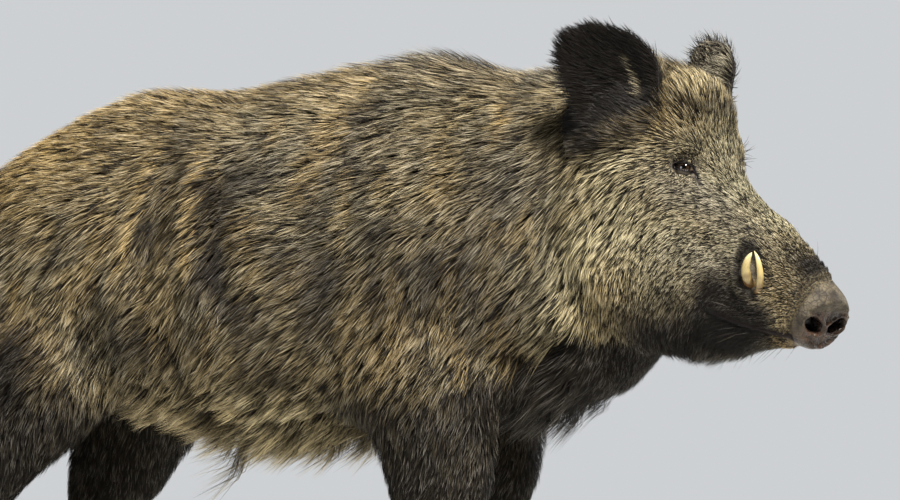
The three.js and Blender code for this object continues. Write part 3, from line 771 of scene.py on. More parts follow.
def markings_and_painted_light(points, share):
    """The shares of gold, dark, grey and pale in the coat's colour, its pattern with painted light and shade
    in
    it, as four numbers a point: the tables' spots, then bands of noise with painted shade on the lower
    flanks, the throat, folds with painted light and shade, legs, tail, ears with painted light through the
    far one, and tear grooves, then blotches, m (1 - m) times noise."""
    head, q, x, z, leg, ear = (share[k] for k in ("head", "q", "x", "z", "leg", "ear"))
    gold, dark, grey, pale = (
        spots(body, x, z) * (1 - head) + spots(face, q[:, 0], q[:, 2]) * head
        for body, face in ((GOLD_ON_BODY, GOLD_ON_HEAD), (DARK_ON_BODY, DARK_ON_HEAD),
                           (GREY_ON_BODY, GREY_ON_HEAD), (PALE_ON_BODY, PALE_ON_HEAD)))
    dark = np.minimum(dark, 0.97)
    # Below the ruff's edge the throat and chest are painted dark: their black hair, and painted shade under
    # the ruff.
    over = z - ruff_edge(x) + 0.010 * noise(points, 0.03, 23)
    throat = smooth(0.008, -0.008, over) * smooth(0.03, 0.10, x)
    throat *= 0.95 * (1 - head * smooth(-0.20, -0.17, q[:, 0]))
    bands = noise(points * [1.0, 0.35, 0.40], 0.026, 24) * (1 - head)
    gold = np.maximum(gold, 0.55 * smooth(0.20, 0.65, bands))
    # Painted shade: flanks and shoulders are darkened from below the line of the back down to the belly, as
    # if light fell on the back from above; darker streaks where the bands of noise run low are added to it.
    shade = smooth(0.83, 0.74, z) * smooth(-0.64, -0.48, x) * smooth(0.27, 0.20, x)
    shade = (0.30 * shade + 0.30 * smooth(0.15, 0.60, -bands)) * (1 - head) * smooth(0.41, 0.50, z)
    dark = np.maximum(1 - (1 - dark) * (1 - shade), throat)
    # Painted shade in the crease where the thigh meets the belly.
    dark = np.maximum(dark, 0.85 * flank_crease(x, z))
    # Painted light and shade on the flank's folds: a gold line along two of the ridges, and a dark line in
    # the valley ahead of each.
    height = z - 0.65
    tall = smooth(-0.09, -0.03, height) * smooth(0.14, 0.09, height)
    for middle, lean, valley in ((-0.405, 0.27, -0.374), (-0.300, 0.0, -0.266)):
        line = bell(x - lean * height, middle, 0.007) * tall
        gold = np.maximum(gold, 0.9 * line)
        dark = dark * (1 - 0.9 * line)
        dark = np.maximum(dark, 0.70 * bell(x - lean * height, valley, 0.011) * tall)
    gold = gold * (1 - throat)
    pale = pale * (1 - throat)
    dark_leg = 0.88 + 0.06 * smooth(0.40, 0.28, z)
    dark = dark + (dark_leg - dark) * leg * smooth(0.50, 0.38, z)
    dark = dark + (1.0 - dark) * ear
    dark = dark + (0.75 * smooth(0.60, 0.45, z) - dark) * share["tail"]
    dark = np.maximum(dark, 0.9 * smooth(1.35, 1.0, share["pocket"]) * head)
    gold = gold * (1 - np.maximum(ear, leg * smooth(0.46, 0.36, z)))
    for v, outward, along, across in eye_views(q):
        tear = smooth(0.0062, 0.0036, tear_gap(v @ along, v @ across)) * (v @ outward > -0.02)
        dark = np.maximum(dark, 0.92 * tear)
    ridge = ear_ridge(points, share)
    dark = dark * (1 - 0.92 * ridge)
    grey = np.maximum(grey, 0.8 * ridge)
    t, w, f = ear_place(points, -1)
    warm = share["ears"][:, 0] * smooth(0.052, 0.036, t) * (f < 0.02)
    dark = dark * (1 - (0.10 + 0.12 * smooth(0.010, -0.010, w)) * warm)
    gold = np.maximum(gold, 0.7 * warm)
    # Painted light: the far ear's coat is paler and greyer, as if lit through from behind.
    backlit_far_ear = share["ears"][:, 1] * smooth(0.02, 0.07, ear_place(points, 1)[0])
    dark = dark * (1 - 0.62 * backlit_far_ear)
    grey = np.maximum(grey, 0.8 * backlit_far_ear)
    blotches = noise(points, 0.05, 21) + 0.6 * noise(points, 0.018, 22)
    marks_and_light = np.stack([gold, dark, grey, pale], 1)
    swing = marks_and_light * (1 - marks_and_light) * blotches[:, None] * np.array([1.2, 1.2, 1.0, 0.8])
    swing[:, 1] *= 1 - np.maximum(throat, leg)
    return np.clip(marks_and_light + swing, 0, 1)


def put_numbers(mesh, name, values):
    """Stores one number, or four, for every point of the mesh."""
    kind, field = ("FLOAT", "value") if values.ndim == 1 else ("FLOAT_COLOR", "color")
    mesh.attributes.new(name, kind, "POINT").data.foreach_set(field, values.astype(np.float32).ravel())


hide_points = points_of(solid)
hide_share = regions(hide_points)
hide_q = hide_share["q"]
put_numbers(solid, "markings_and_painted_light", markings_and_painted_light(hide_points, hide_share))

# Bare skin, as four shares a point: disc and pockets, lips, wet black edges and the nostrils' pits, and ears;
# then lids and rim. The pits are painted black for their dark lining and the painted shade deep in them.
pockets = smooth(0.95, 0.6, hide_share["pocket"]) * hide_share["head"]
lids, wet_edges_and_nostril_pits = np.zeros(len(hide_q)), in_nostril
for v, outward, along, across in eye_views(hide_q):
    a, b, c = v @ along, v @ across, v @ outward
    near_slit = np.hypot(np.maximum(np.abs(a) - 0.011, 0), np.maximum(np.abs(b - 0.0010) - 0.003, 0))
    wet_edges_and_nostril_pits = np.maximum(wet_edges_and_nostril_pits, smooth(0.0052, 0.0034, near_slit) * (c > -0.004))
    lids = np.maximum(lids, smooth(0.0095, 0.0070, near_slit) * (c > -0.004))
    wet_edges_and_nostril_pits = np.maximum(wet_edges_and_nostril_pits, smooth(0.0034, 0.0014, tear_gap(a, b)) * (c > -0.02))
bare = [np.maximum(hide_share["disc"], pockets), hide_share["lips"], wet_edges_and_nostril_pits, hide_share["ear"]]
put_numbers(solid, "bare", np.stack(bare, 1))
put_numbers(solid, "lids", lids)
on_rim = smooth(-0.005, -0.012, hide_q[:, 0]) + 0.8 * bell(np.hypot(*hide_q[:, 1:].T), 0.043, 0.004)
on_rim += smooth(0.014, 0.024, hide_q[:, 2])
put_numbers(solid, "rim", np.clip(on_rim * smooth(-0.025, 0.015, hide_q[:, 2]) + 0.25 * on_rim, 0, 1))


def stored(tree, name):
    """The number of this name that the mesh stores at its points."""
    return add(tree, "ShaderNodeAttribute", attribute_name=name).outputs["Fac"]


def cloudy(tree, where, scale, detail):
    """Layered noise about 0.5, with scale clouds to a metre."""
    return add(tree, "ShaderNodeTexNoise", {"Vector": where, "Scale": scale, "Detail": detail}).outputs[0]


def colour_mix(tree, share_of_second, first, second):
    """A colour, mixed from two: first (1 - share) + second share."""
    node = tree.nodes.new("ShaderNodeMix")
    node.data_type = "RGBA"
    for socket, value in ((0, share_of_second), (6, first), (7, second)):
        if isinstance(value, bpy.types.NodeSocket):
            tree.links.new(value, node.inputs[socket])
        else:
            node.inputs[socket].default_value = value if socket == 0 else (*value, 1)
    return node.outputs[2]


def sums(tree, operation, first, second):
    """One sum on two numbers, each a socket or a constant."""
    return add(tree, "ShaderNodeMath", {0: first, 1: second}, operation=operation).outputs[0]


def weighted(tree, *terms):
    """The sum of number times weight over the pairs."""
    parts = [sums(tree, "MULTIPLY", number, weight) for number, weight in terms]
    total = parts[0]
    for part in parts[1:]:
        total = sums(tree, "ADD", total, part)
    return total


def ramp(tree, value, low, high, out_low=0.0, out_high=1.0):
    """A number that goes from out_low at low to out_high at high, by 3 t^2 - 2 t^3."""
    limits = {"Value": value, "From Min": low, "From Max": high, "To Min": out_low, "To Max": out_high}
    return add(tree, "ShaderNodeMapRange", limits, interpolation_type="SMOOTHSTEP").outputs[0]


def bumps(tree, height, strength, distance):
    """The normal of a surface with this height in it, distance metres deep."""
    relief = {"Height": height, "Strength": strength, "Distance": distance}
    return add(tree, "ShaderNodeBump", relief).outputs[0]


def surface(tree, colour, roughness, **more):
    """The finished surface of this colour and roughness; in a socket's name, _ stands for a space."""
    sockets = {"Base Color": colour, "Roughness": roughness}
    sockets.update({name.replace("_", " "): value for name, value in more.items()})
    shader = add(tree, "ShaderNodeBsdfPrincipled", sockets)
    add(tree, "ShaderNodeOutputMaterial", {"Surface": shader.outputs[0]})


TAN, OLIVE, GOLD = (0.480, 0.378, 0.196), (0.200, 0.166, 0.090), (0.680, 0.475, 0.185)
GREY, PALE_HAIR, BLACK = (0.430, 0.385, 0.300), (0.790, 0.735, 0.470), (0.0065, 0.0057, 0.0052)
ROOT = (0.0095, 0.0076, 0.0060)


def hair_colours(tree, where):
    """The colour of hair tips by the coat's pattern with its painted light and shade, over a drift from tan
    to olive across a hand's breadth, and the share of dark in it."""
    marks_and_light = add(tree, "ShaderNodeAttribute", attribute_name="markings_and_painted_light")
    parts = add(tree, "ShaderNodeSeparateColor", {0: marks_and_light.outputs["Color"]}).outputs
    tip = colour_mix(tree, ramp(tree, cloudy(tree, where, 14.0, 3.0), 0.35, 0.65), TAN, OLIVE)
    tip = colour_mix(tree, parts[2], tip, GREY)
    tip = colour_mix(tree, parts[0], tip, GOLD)
    tip = colour_mix(tree, marks_and_light.outputs["Alpha"], tip, PALE_HAIR)
    return colour_mix(tree, parts[1], tip, BLACK), parts[1]


hide_paint, tree = new_material("hide")
where = object_place(tree)
bare_node = add(tree, "ShaderNodeAttribute", attribute_name="bare")
bare_parts = add(tree, "ShaderNodeSeparateColor", {0: bare_node.outputs["Color"]}).outputs
speckle, blotch = cloudy(tree, where, 420.0, 4.0), cloudy(tree, where, 60.0, 5.0)
pores = add(tree, "ShaderNodeTexVoronoi", {"Vector": where, "Scale": 420.0}, feature="F1").outputs["Distance"]
cells = add(tree, "ShaderNodeTexVoronoi", {"Vector": where, "Scale": 150.0}, feature="DISTANCE_TO_EDGE")
creases = cells.outputs["Distance"]
rim = stored(tree, "rim")

colour = colour_mix(tree, ramp(tree, speckle, 0.38, 0.66), ROOT, hair_colours(tree, where)[0])
colour = colour_mix(tree, 0.55, colour, ROOT)
ear_skin = colour_mix(tree, blotch, (0.006, 0.005, 0.005), (0.020, 0.014, 0.013))
colour = colour_mix(tree, bare_node.outputs["Alpha"], colour, ear_skin)
disc_skin = colour_mix(tree, ramp(tree, blotch, 0.35, 0.7), (0.014, 0.008, 0.005), (0.072, 0.040, 0.025))
rim_skin = colour_mix(tree, ramp(tree, blotch, 0.35, 0.68), (0.030, 0.024, 0.017), (0.135, 0.112, 0.074))
disc_skin = colour_mix(tree, rim, disc_skin, rim_skin)
# Painted shade: the disc's skin is darker along the creases between its cells, where the bump sinks it.
disc_skin = colour_mix(tree, ramp(tree, creases, 0.0, 0.05), (0.018, 0.012, 0.009), disc_skin)
colour = colour_mix(tree, bare_parts[0], colour, disc_skin)
colour = colour_mix(tree, bare_parts[1], colour, (0.018, 0.012, 0.011))  # lips
lid_skin = colour_mix(tree, speckle, (0.070, 0.056, 0.044), (0.190, 0.160, 0.128))
colour = colour_mix(tree, stored(tree, "lids"), colour, lid_skin)
# Wet black edges of lids and tear grooves, and the nostrils' pits, painted black for their dark lining and
# for painted shade deep in them.
colour = colour_mix(tree, bare_parts[2], colour, (0.007, 0.005, 0.005))  # wet black edges
height = weighted(tree, (speckle, 0.7), (pores, 0.5), (ramp(tree, creases, 0.0, 0.12), 0.6))
wet_disc = sums(tree, "MULTIPLY", bare_parts[0], ramp(tree, rim, 0.0, 1.0, 1.0, 0.3))
wet = sums(tree, "MAXIMUM", wet_disc, bare_parts[2])
surface(tree, colour, ramp(tree, wet, 0.0, 1.0, 0.72, 0.26), Specular_IOR_Level=0.32,
        Normal=bumps(tree, height, 0.55, 0.0012))
solid.materials.clear()
hide = linked("hide", solid, hide_paint)
solid.polygons.foreach_set("use_smooth", np.ones(len(solid.polygons), bool))
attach(hide, "root")
leg_nodes = [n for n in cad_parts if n.endswith(("_upper", "_lower"))]
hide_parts("trunk", "neck", "head", "snout", "lower_jaw", "tail", "ear_right", "ear_left", *leg_nodes)


# ---- Coat ----------------------------------------------------------------------------------------
# Coarse bristles rooted in the hide, without the softer wool under them: dark at the root and paler at the
# tip, lying back along the body in locks. The coat is long on back, neck and cheeks, short on the face and
# lower legs, and black on the ears.

solid.calc_loop_triangles()
triangles = rows_of(solid.loop_triangles, "vertices", 3, np.int32)
hide_normals = normals_of(solid)
soft_normals = unit(relax(solid, hide_normals, 4, 1.0))
# The hairs of body, face, legs, ears, tail and sheath, in metres.
BODY_HAIR, FACE_HAIR, LEG_HAIR, EAR_HAIR, TAIL_HAIR, SHEATH_HAIR = 0.038, 0.0105, 0.013, 0.022, 0.034, 0.11
BODY_BLADE, FACE_BLADE, LEG_BLADE, EAR_BLADE = 0.00118, 0.00085, 0.0012, 0.0010  # their widths
BODY_LAYERS = 7.4  # hairs over one another, if each covered 0.72 of its length times its width


def sheath_tuft(share):
    """1 at the tuft under the belly."""
    return bell(np.hypot(share["x"] + 0.304, share["y"]), 0, 0.022) * (share["z"] < 0.42)


def hair_size(share):
    """The length and width of the hairs in metres, and how many layers of them lie over each other: longer on
    mane, belly, throat, cheeks and chin, and shorter round the eyes."""
    q, x, z = share["q"], share["x"], share["z"]
    cheek = bell(q[:, 0], -0.34, 0.07) * smooth(0.10, 0.0, q[:, 2])
    crown = smooth(0.10, 0.17, q[:, 2]) * smooth(-0.22, -0.30, q[:, 0])
    chin = smooth(-0.05, -0.10, q[:, 2]) * bell(q[:, 0], -0.16, 0.06)
    mane = smooth(0.80, 0.88, z) * bell(x, 0.05, 0.25)
    length = BODY_HAIR + 0.014 * mane + 0.018 * smooth(0.43, 0.37, z)
    length += 0.016 * smooth(0.50, 0.46, z) * smooth(0.10, 0.18, x) * (1 - share["face"])
    face = FACE_HAIR + 0.013 * cheek + 0.004 * crown + 0.022 * chin + 0.006 * smooth(-0.20, -0.36, q[:, 0])
    face *= smooth(0.02, -0.09, q[:, 0])
    length += (face - length) * share["face"]
    leg = LEG_HAIR + 0.020 * smooth(0.16, 0.42, z)
    length *= 1 - 0.60 * smooth(0.034, 0.019, eye_gap(q))
    length += (leg - length) * share["leg"]
    length += (EAR_HAIR - length) * share["ear"]
    length += (TAIL_HAIR + 0.026 * smooth(0.56, 0.46, z) - length) * share["tail"]
    length += (SHEATH_HAIR - length) * sheath_tuft(share)
    width = BODY_BLADE + (FACE_BLADE + 0.00015 * cheek - BODY_BLADE) * share["face"]
    width += (LEG_BLADE + 0.0003 * smooth(0.20, 0.45, z) - width) * share["leg"]
    width += (EAR_BLADE - width) * share["ear"]
    layers = BODY_LAYERS - 3.6 * share["face"] * (1 - 0.8 * cheek) - 3.4 * share["leg"] - 2.6 * share["ear"]
    layers += 5 * sheath_tuft(share)
    return length, width, layers


def hairless(share):
    """1 where the hide is bare: disc, lips, tusk pockets, eye slits, tear grooves and above the hooves."""
    q = share["q"]
    edge = q[:, 0] - 0.010 * smooth(0.015, 0.035, q[:, 2])
    gone = np.maximum(smooth(-0.040, -0.026, edge), share["lips"] * (share["head"] > 0.5))
    gone = np.maximum(gone, smooth(1.0, 0.8, share["pocket"]) * share["head"])
    for v, outward, along, across in eye_views(q):
        a, b = v @ along, v @ across
        slit = np.hypot(a / 0.0160, (b + 0.0005) / 0.0078)
        gone = np.maximum(gone, (np.minimum(slit, tear_gap(a, b) / 0.0050) < 1) & (v @ outward > -0.02))
    return np.maximum(gone, share["z"] < 0.040)


def rooted(seed):
    """Roots spread over the hide: each triangle gets its area times layers / (0.72 length width) of them, by
    even steps along the running total, at random places inside it. Returns the roots and their normals."""
    draw = np.random.default_rng(seed)
    corner = hide_points[triangles]
    area = 0.5 * np.linalg.norm(np.cross(corner[:, 1] - corner[:, 0], corner[:, 2] - corner[:, 0]), axis=1)
    length, width, layers = hair_size(hide_share)
    density = (layers / (length * width * 0.72) * (1 - hairless(hide_share)))[triangles].mean(1)
    total = np.cumsum(area * density)
    count = int(total[-1])
    picked = np.searchsorted(total, (np.arange(count) + draw.random(count)) * total[-1] / count)
    picked = np.minimum(picked, len(triangles) - 1)
    u, v = draw.random((2, count))
    flip = u + v > 1
    u, v = np.where(flip, 1 - u, u), np.where(flip, 1 - v, v)
    weight = np.stack([1 - u - v, u, v], 1)[..., None]
    roots = (corner[picked] * weight).sum(1)
    out = unit((soft_normals[triangles[picked]] * weight).sum(1))
    keep = hairless(regions(roots)) < 0.5
    return roots[keep], out[keep]


def lock_centres(points, cell, seed):
    """The nearest of the random points, one in each cell of a cubic lattice, and a random number for each."""
    table = np.random.default_rng(seed).random((DRAWS, 4))
    base = np.floor(points / cell).astype(np.int64)
    nearest, centre, mood = np.full(len(points), 9.0), points.copy(), np.zeros(len(points))
    for corner in np.ndindex(3, 3, 3):
        place = base + np.array(corner) - 1
        row = drawn_for(place, table)
        candidate = (place + row[:, :3]) * cell
        gap = np.linalg.norm(candidate - points, axis=1)
        closer = gap < nearest
        nearest[closer], centre[closer], mood[closer] = gap[closer], candidate[closer], row[closer, 3]
    return centre, mood


def turn_about(vectors, axes, angle):
    """Vectors square to their axes, turned about them: v cos + (n x v) sin."""
    return vectors * np.cos(angle)[:, None] + np.cross(axes, vectors) * np.sin(angle)[:, None]


def round_share(first, second):
    """The angle from the second direction towards the first, as a share of a turn, 0.5 at the second."""
    return np.arctan2(first, second) / (2 * np.pi) + 0.5


def unwrapped(kind, points, share):
    """Each root's place on an unwrap of the hide's own shape, 0 to 1 both ways: round the trunk, head, leg,
    ear or tail by its angle, and along it by distance. Right and left ears and legs have a half each."""
    x, y, z, q = (share[k] for k in ("x", "y", "z", "q"))
    if kind == "head":
        around, along = round_share(q[:, 1], q[:, 2] + 0.02), q[:, 0]
    elif kind == "legs":
        near_leg = share["legs"].argmax(1)
        ahead, aside = np.zeros(len(points)), np.zeros(len(points))
        for number, rows in enumerate(leg_rows.values()):
            up = rows[::-1] * MM
            ahead = np.where(near_leg == number, np.interp(z, up[:, 2], up[:, 0]), ahead)
            aside = np.where(near_leg == number, np.interp(z, up[:, 2], up[:, 1]), aside)
        around, along = 0.49 * round_share(y - aside, x - ahead) + 0.5 * (aside > 0), z
    elif kind == "ears":
        right = share["ears"][:, 0] > share["ears"][:, 1]
        t, w, f = (np.where(right, a, b) for a, b in zip(ear_place(points, -1), ear_place(points, 1)))
        around, along = 0.49 * round_share(w, f + 0.02) + 0.5 * right, t
    elif kind == "tail":
        around, along = round_share(y, x + 0.83), z
    else:
        around, along = round_share(y, z - 0.6), x
    low, high = along.min(), along.max()
    return np.stack([around, (along - low) / (high - low)], 1) * 0.992 + 0.002


# By the number of lengths in a blade: how steeply each leaves the hide, and the widths where each starts.
BLADE_STEPS = {3: (1.60, 1.0, 0.40), 2: (1.45, 0.55)}
BLADE_WIDTHS = {3: (0.75, 1.0, 0.62), 2: (0.85, 0.8)}
LOCK, WISP = 0.019, 0.0075  # m across, a lock of hairs and the wisps in it
PATCH = 0.003  # side of a blade's place on the OFBake map


def blade_points(roots, out, share, size, moods, segments, draw):
    """Every hair is a flat blade that narrows to a point. Its middle line leaves the hide along the lie, each
    length flatter than the last, so that its tip reaches the outline of the coat; the tips of one lock draw
    together, and the blade is rolled a little about its own line."""
    count = len(roots)
    (length, width), (coarse, mood), (fine, _) = size, *moods
    hang = smooth(-0.25, -0.75, out[:, 2])
    length *= 1 + hang * share["trunk"] * (1.1 * mood - 0.45)
    length = length * draw.uniform(0.70, 1.20, count)
    width = width * draw.uniform(0.70, 1.30, count)
    way = lie(out, share)
    swirl = 0.30 * noise(roots, 0.090, 31) + 0.20 * noise(roots, 0.030, 32) + draw.normal(0, 0.09, count)
    way = turn_about(way, out, swirl)
    tuft = sheath_tuft(share)
    fringe = np.maximum(tuft, 0.75 * hang * share["face"])
    fringe = np.maximum(fringe, (0.35 + 0.75 * mood) * (hang * share["trunk"]))
    ruff = 0.5 * bell(share["z"] - ruff_edge(share["x"]), 0.012, 0.016)
    fringe = np.maximum(fringe, ruff * smooth(0.14, 0.20, share["x"]) * (1 - share["face"]))
    rise = np.maximum((coat_depth(share) + 0.0055 * share["ear"]) / length, 0.8 * fringe + 0.4 * tuft)
    rise *= draw.uniform(0.55, 1.15, count) * (1 - 0.6 * share["tail"])
    line = [roots - out * 0.0008]
    for step in BLADE_STEPS[segments]:
        up = np.clip(rise * step, 0, 0.93)[:, None]
        line.append(line[-1] + (way * np.sqrt(1 - up**2) + out * up) * (length / segments)[:, None])
    line = np.stack(line, 1)
    long = smooth(0.010, 0.040, length)
    for centre, pull in ((coarse, (0.60 + 0.25 * fringe) * long), (fine, 0.42 + 0.20 * long)):
        drawn = centre - roots
        drawn -= out * (drawn * out).sum(1, keepdims=True)
        for k in range(1, segments + 1):
            line[:, k] += drawn * (pull * (k / segments) ** 1.4)[:, None]
    side = turn_about(np.cross(out, way), way, draw.uniform(-0.6, 0.6, count))
    points = np.empty((count, 2 * segments + 1, 3))
    for k, wide in enumerate(BLADE_WIDTHS[segments]):
        reach = side * (width * wide / 2)[:, None]
        points[:, 2 * k], points[:, 2 * k + 1] = line[:, k] - reach, line[:, k] + reach
    points[:, -1] = line[:, -1]
    return points


def blade_faces(segments, count):
    """The triangles of count blades: two to each length and one at the tip."""
    strip = []
    for k in range(segments - 1):
        strip += [[2 * k, 2 * k + 1, 2 * k + 3], [2 * k, 2 * k + 3, 2 * k + 2]]
    strip.append([2 * segments - 2, 2 * segments - 1, 2 * segments])
    return (np.array(strip)[None] + np.arange(count)[:, None, None] * (2 * segments + 1)).reshape(-1, 3)


def triangle_mesh(name, points, faces):
    """A smooth mesh straight from arrays of points and triangles."""
    mesh = bpy.data.meshes.new(name)
    mesh.vertices.add(len(points))
    mesh.vertices.foreach_set("co", points.reshape(-1).astype(np.float32))
    mesh.loops.add(faces.size)
    mesh.loops.foreach_set("vertex_index", faces.ravel().astype(np.int32))
    mesh.polygons.add(len(faces))
    mesh.polygons.foreach_set("loop_start", (np.arange(len(faces)) * 3).astype(np.int32))
    mesh.polygons.foreach_set("use_smooth", np.ones(len(faces), bool))
    mesh.update(calc_edges=True)
    return mesh


def hair_piece(name, kind, roots, out, share, segments, seed):
    """One piece of the coat: its blades, and for each of their points its share along the blade, the tone of
    its hair, the coat's pattern with its painted light and shade at its root, and its place on the OFBake
    map."""
    draw = np.random.default_rng(seed)
    count, per = len(roots), 2 * segments + 1
    coarse, fine = lock_centres(roots, LOCK, 33), lock_centres(roots, WISP, 34)
    points = blade_points(roots, out, share, hair_size(share)[:2], (coarse, fine), segments, draw)
    faces = blade_faces(segments, count)
    mesh = triangle_mesh(name, points.reshape(-1, 3), faces)
    steps = [k / segments for k in range(segments)]
    put_numbers(mesh, "along", np.tile(np.array([k for k in steps for _ in (0, 1)] + [1.0]), count))
    spread = 0.29 + 0.17 * share["face"]
    tone = 0.5 + 0.30 * (coarse[1] - 0.5) + 0.45 * (fine[1] - 0.5) + spread * draw.normal(0, 1, count)
    put_numbers(mesh, "tone", np.repeat(np.clip(tone, 0, 1), per))
    put_numbers(mesh, "markings_and_painted_light", np.repeat(markings_and_painted_light(roots, share), per, axis=0))
    patch = np.array([[x, k] for k in steps for x in (0, 1)] + [[0.5, 1.0]]) * PATCH
    place = (unwrapped(kind, roots, share)[:, None] + patch[None]).reshape(-1, 2)
    layer = mesh.uv_layers.new(name="OFBake")
    layer.data.foreach_set("uv", place[faces.ravel()].ravel().astype(np.float32))
    piece = linked(name, mesh, coat_paint)
    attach(piece, "root")


coat_paint, tree = new_material("coat")
along, tone = stored(tree, "along"), stored(tree, "tone")
tip, dark = hair_colours(tree, object_place(tree))
lit = colour_mix(tree, ramp(tree, tone, 0.22, 0.72), ROOT, tip)
colour = colour_mix(tree, ramp(tree, along, 0.10, 0.50), ROOT, colour_mix(tree, 0.62, lit, ROOT))
colour = colour_mix(tree, ramp(tree, along, 0.40, 0.85), colour, lit)
# Painted highlight: the tips of the lighter hairs, pale in themselves, are painted paler still as a glint of
# light on them; grey glints on dark hair and near-black ones on black hair.
glint = sums(tree, "MULTIPLY", ramp(tree, tone, 0.60, 0.95), ramp(tree, along, 0.45, 0.9))
pale_tip_and_glint = colour_mix(tree, 0.42, tip, (0.80, 0.74, 0.58))
pale_tip_and_glint = colour_mix(tree, ramp(tree, dark, 0.25, 0.85), pale_tip_and_glint, (0.150, 0.138, 0.122))
pale_tip_and_glint = colour_mix(tree, ramp(tree, dark, 0.95, 0.995), pale_tip_and_glint, (0.016, 0.0145, 0.0135))
surface(tree, colour_mix(tree, glint, colour, pale_tip_and_glint), 0.55, Specular_IOR_Level=0.14)

roots, root_normals = rooted(41)
root_share = regions(roots)


def chosen(pick):
    """The roots, normals and shares that are picked."""
    return roots[pick], root_normals[pick], {k: v[pick] for k, v in root_share.items()}


on_tail = root_share["tail"] > 0.5
on_ears = (root_share["ear"] > 0.5) & ~on_tail
on_legs = (root_share["leg"] > 0.5) & ~on_tail & ~on_ears
on_head = (root_share["face"] > 0.5) & ~on_ears & ~on_legs
on_trunk = ~(on_tail | on_ears | on_legs | on_head)
x = root_share["x"]
bands = {"coat_rump": (-2, -0.56), "coat_loin": (-0.56, -0.37), "coat_flank": (-0.37, -0.20),
         "coat_ribs": (-0.20, -0.04), "coat_shoulder": (-0.04, 0.12), "coat_neck": (0.12, 2)}
for number, (name, (low, high)) in enumerate(bands.items()):
    hair_piece(name, "trunk", *chosen(on_trunk & (x >= low) & (x < high)), 2, 50 + number)
nose, fore = root_share["q"][:, 0] > -0.20, x > -0.25
for name, kind, pick, segments, seed in (
        ("coat_muzzle", "head", on_head & nose, 2, 60), ("coat_cheeks", "head", on_head & ~nose, 2, 61),
        ("coat_forelegs", "legs", on_legs & fore, 2, 62), ("coat_hindlegs", "legs", on_legs & ~fore, 2, 63),
        ("coat_ears", "ears", on_ears, 2, 64), ("coat_tail", "tail", on_tail, 3, 65)):
    hair_piece(name, kind, *chosen(pick), segments, seed)


# ---- Eyes ----------------------------------------------------------------------------------------
# Two small dark brown eyes, each a wet ball with a clear bulge in front of a brown iris, whose pupil is a
# level oval. Each sits in its socket in the skull and is held there by thick lids.

BALL_RINGS, BALL_SIDES = 47, 64
BULGE = 0.05  # of the radius, in front


def eyeball(which, side, eye):
    """A ball about its own outward axis, R (1 + bulge exp(-(a / 0.5)^2)) at angle a from it."""
    outward, along, across = eye_axes(side)
    angles = np.linspace(0, np.pi, BALL_RINGS + 2)[1:-1]
    a, turn = np.meshgrid(angles, 2 * np.pi * np.arange(BALL_SIDES) / BALL_SIDES, indexing="ij")
    r = EYE_RADIUS * (1 + BULGE * np.exp(-((a / 0.5) ** 2)))
    ring = (np.cos(turn)[..., None] * along + np.sin(turn)[..., None] * across * -side) * np.sin(a)[..., None]
    ball = (ring + np.cos(a)[..., None] * outward) * r[..., None]
    poles = np.stack([outward * EYE_RADIUS * (1 + BULGE), -outward * EYE_RADIUS])
    points = np.concatenate([ball.reshape(-1, 3), poles]) + eye
    quads = wall_faces(BALL_RINGS, BALL_SIDES)[:, [0, 3, 2, 1]]
    k, pole, last = np.arange(BALL_SIDES), BALL_RINGS * BALL_SIDES, (BALL_RINGS - 1) * BALL_SIDES
    n = (k + 1) % BALL_SIDES
    front = np.stack([k * 0 + pole, k, n], 1)
    back = np.stack([last + n, last + k, k * 0 + pole + 1], 1)
    faces = quads.tolist() + front.tolist() + back.tolist()
    piece = mesh_object("eyeball_" + which, snout_place + points @ head_axes.T, faces, eye_paint)
    mesh = piece.data
    mesh.polygons.foreach_set("use_smooth", np.ones(len(mesh.polygons), bool))
    off = np.concatenate([a.ravel(), [0, np.pi]])
    level = np.concatenate([(np.cos(turn) * np.sin(a)).ravel(), [0, 0]])
    upright = np.concatenate([(np.sin(turn) * np.sin(a)).ravel(), [0, 0]])
    put_numbers(mesh, "off_axis", off)
    put_numbers(mesh, "pupil", np.hypot(level / 0.34, upright / 0.20) + (off > 1.5) * 9)
    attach(piece, "root")
    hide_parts("eye_" + which)


eye_paint, tree = new_material("eye")
off_axis = stored(tree, "off_axis")
streaks = cloudy(tree, object_place(tree), 900.0, 4.0)
iris = colour_mix(tree, streaks, (0.010, 0.006, 0.004), (0.046, 0.027, 0.016))
colour = colour_mix(tree, ramp(tree, off_axis, 0.62, 0.74), iris, (0.006, 0.004, 0.003))
colour = colour_mix(tree, ramp(tree, off_axis, 0.80, 0.95), colour, (0.16, 0.11, 0.08))
colour = colour_mix(tree, ramp(tree, stored(tree, "pupil"), 1.1, 0.9), colour, (0.002, 0.002, 0.002))
surface(tree, colour, 0.12, Coat_Weight=1.0, Coat_Roughness=0.03)
eyeball("right", -1, EYES["right"])
eyeball("left", 1, EYES["left"])


# ---- Tusks ---------------------------------------------------------------------------------------
# Four canines of solid ivory, rooted in the jaws and grown out past the lips. The lower pair are slim and
# keen, and hone against the stout upper pair. They are yellow and stained at the gum and polished at the tip.

tusk_rows = {  # ahead, aside and up in the head's frame, and radius
    "lower": np.array([[-91, 46, -1, 6], [-85, 54, 8, 6.5], [-88, 61, 28, 5.8], [-98, 63, 43, 4.2],
                       [-111, 61, 51, 1]]),
    "upper": np.array([[-105, 46, 4, 7], [-106, 56, 11, 6.5], [-110, 64, 24, 5.8], [-111, 67, 38, 4.2],
                       [-110, 66, 49, 1.2]])}
TUSK_STOUT = {"lower": 0.74, "upper": 1.0}  # times the radius
TUSK_SIDES = 24


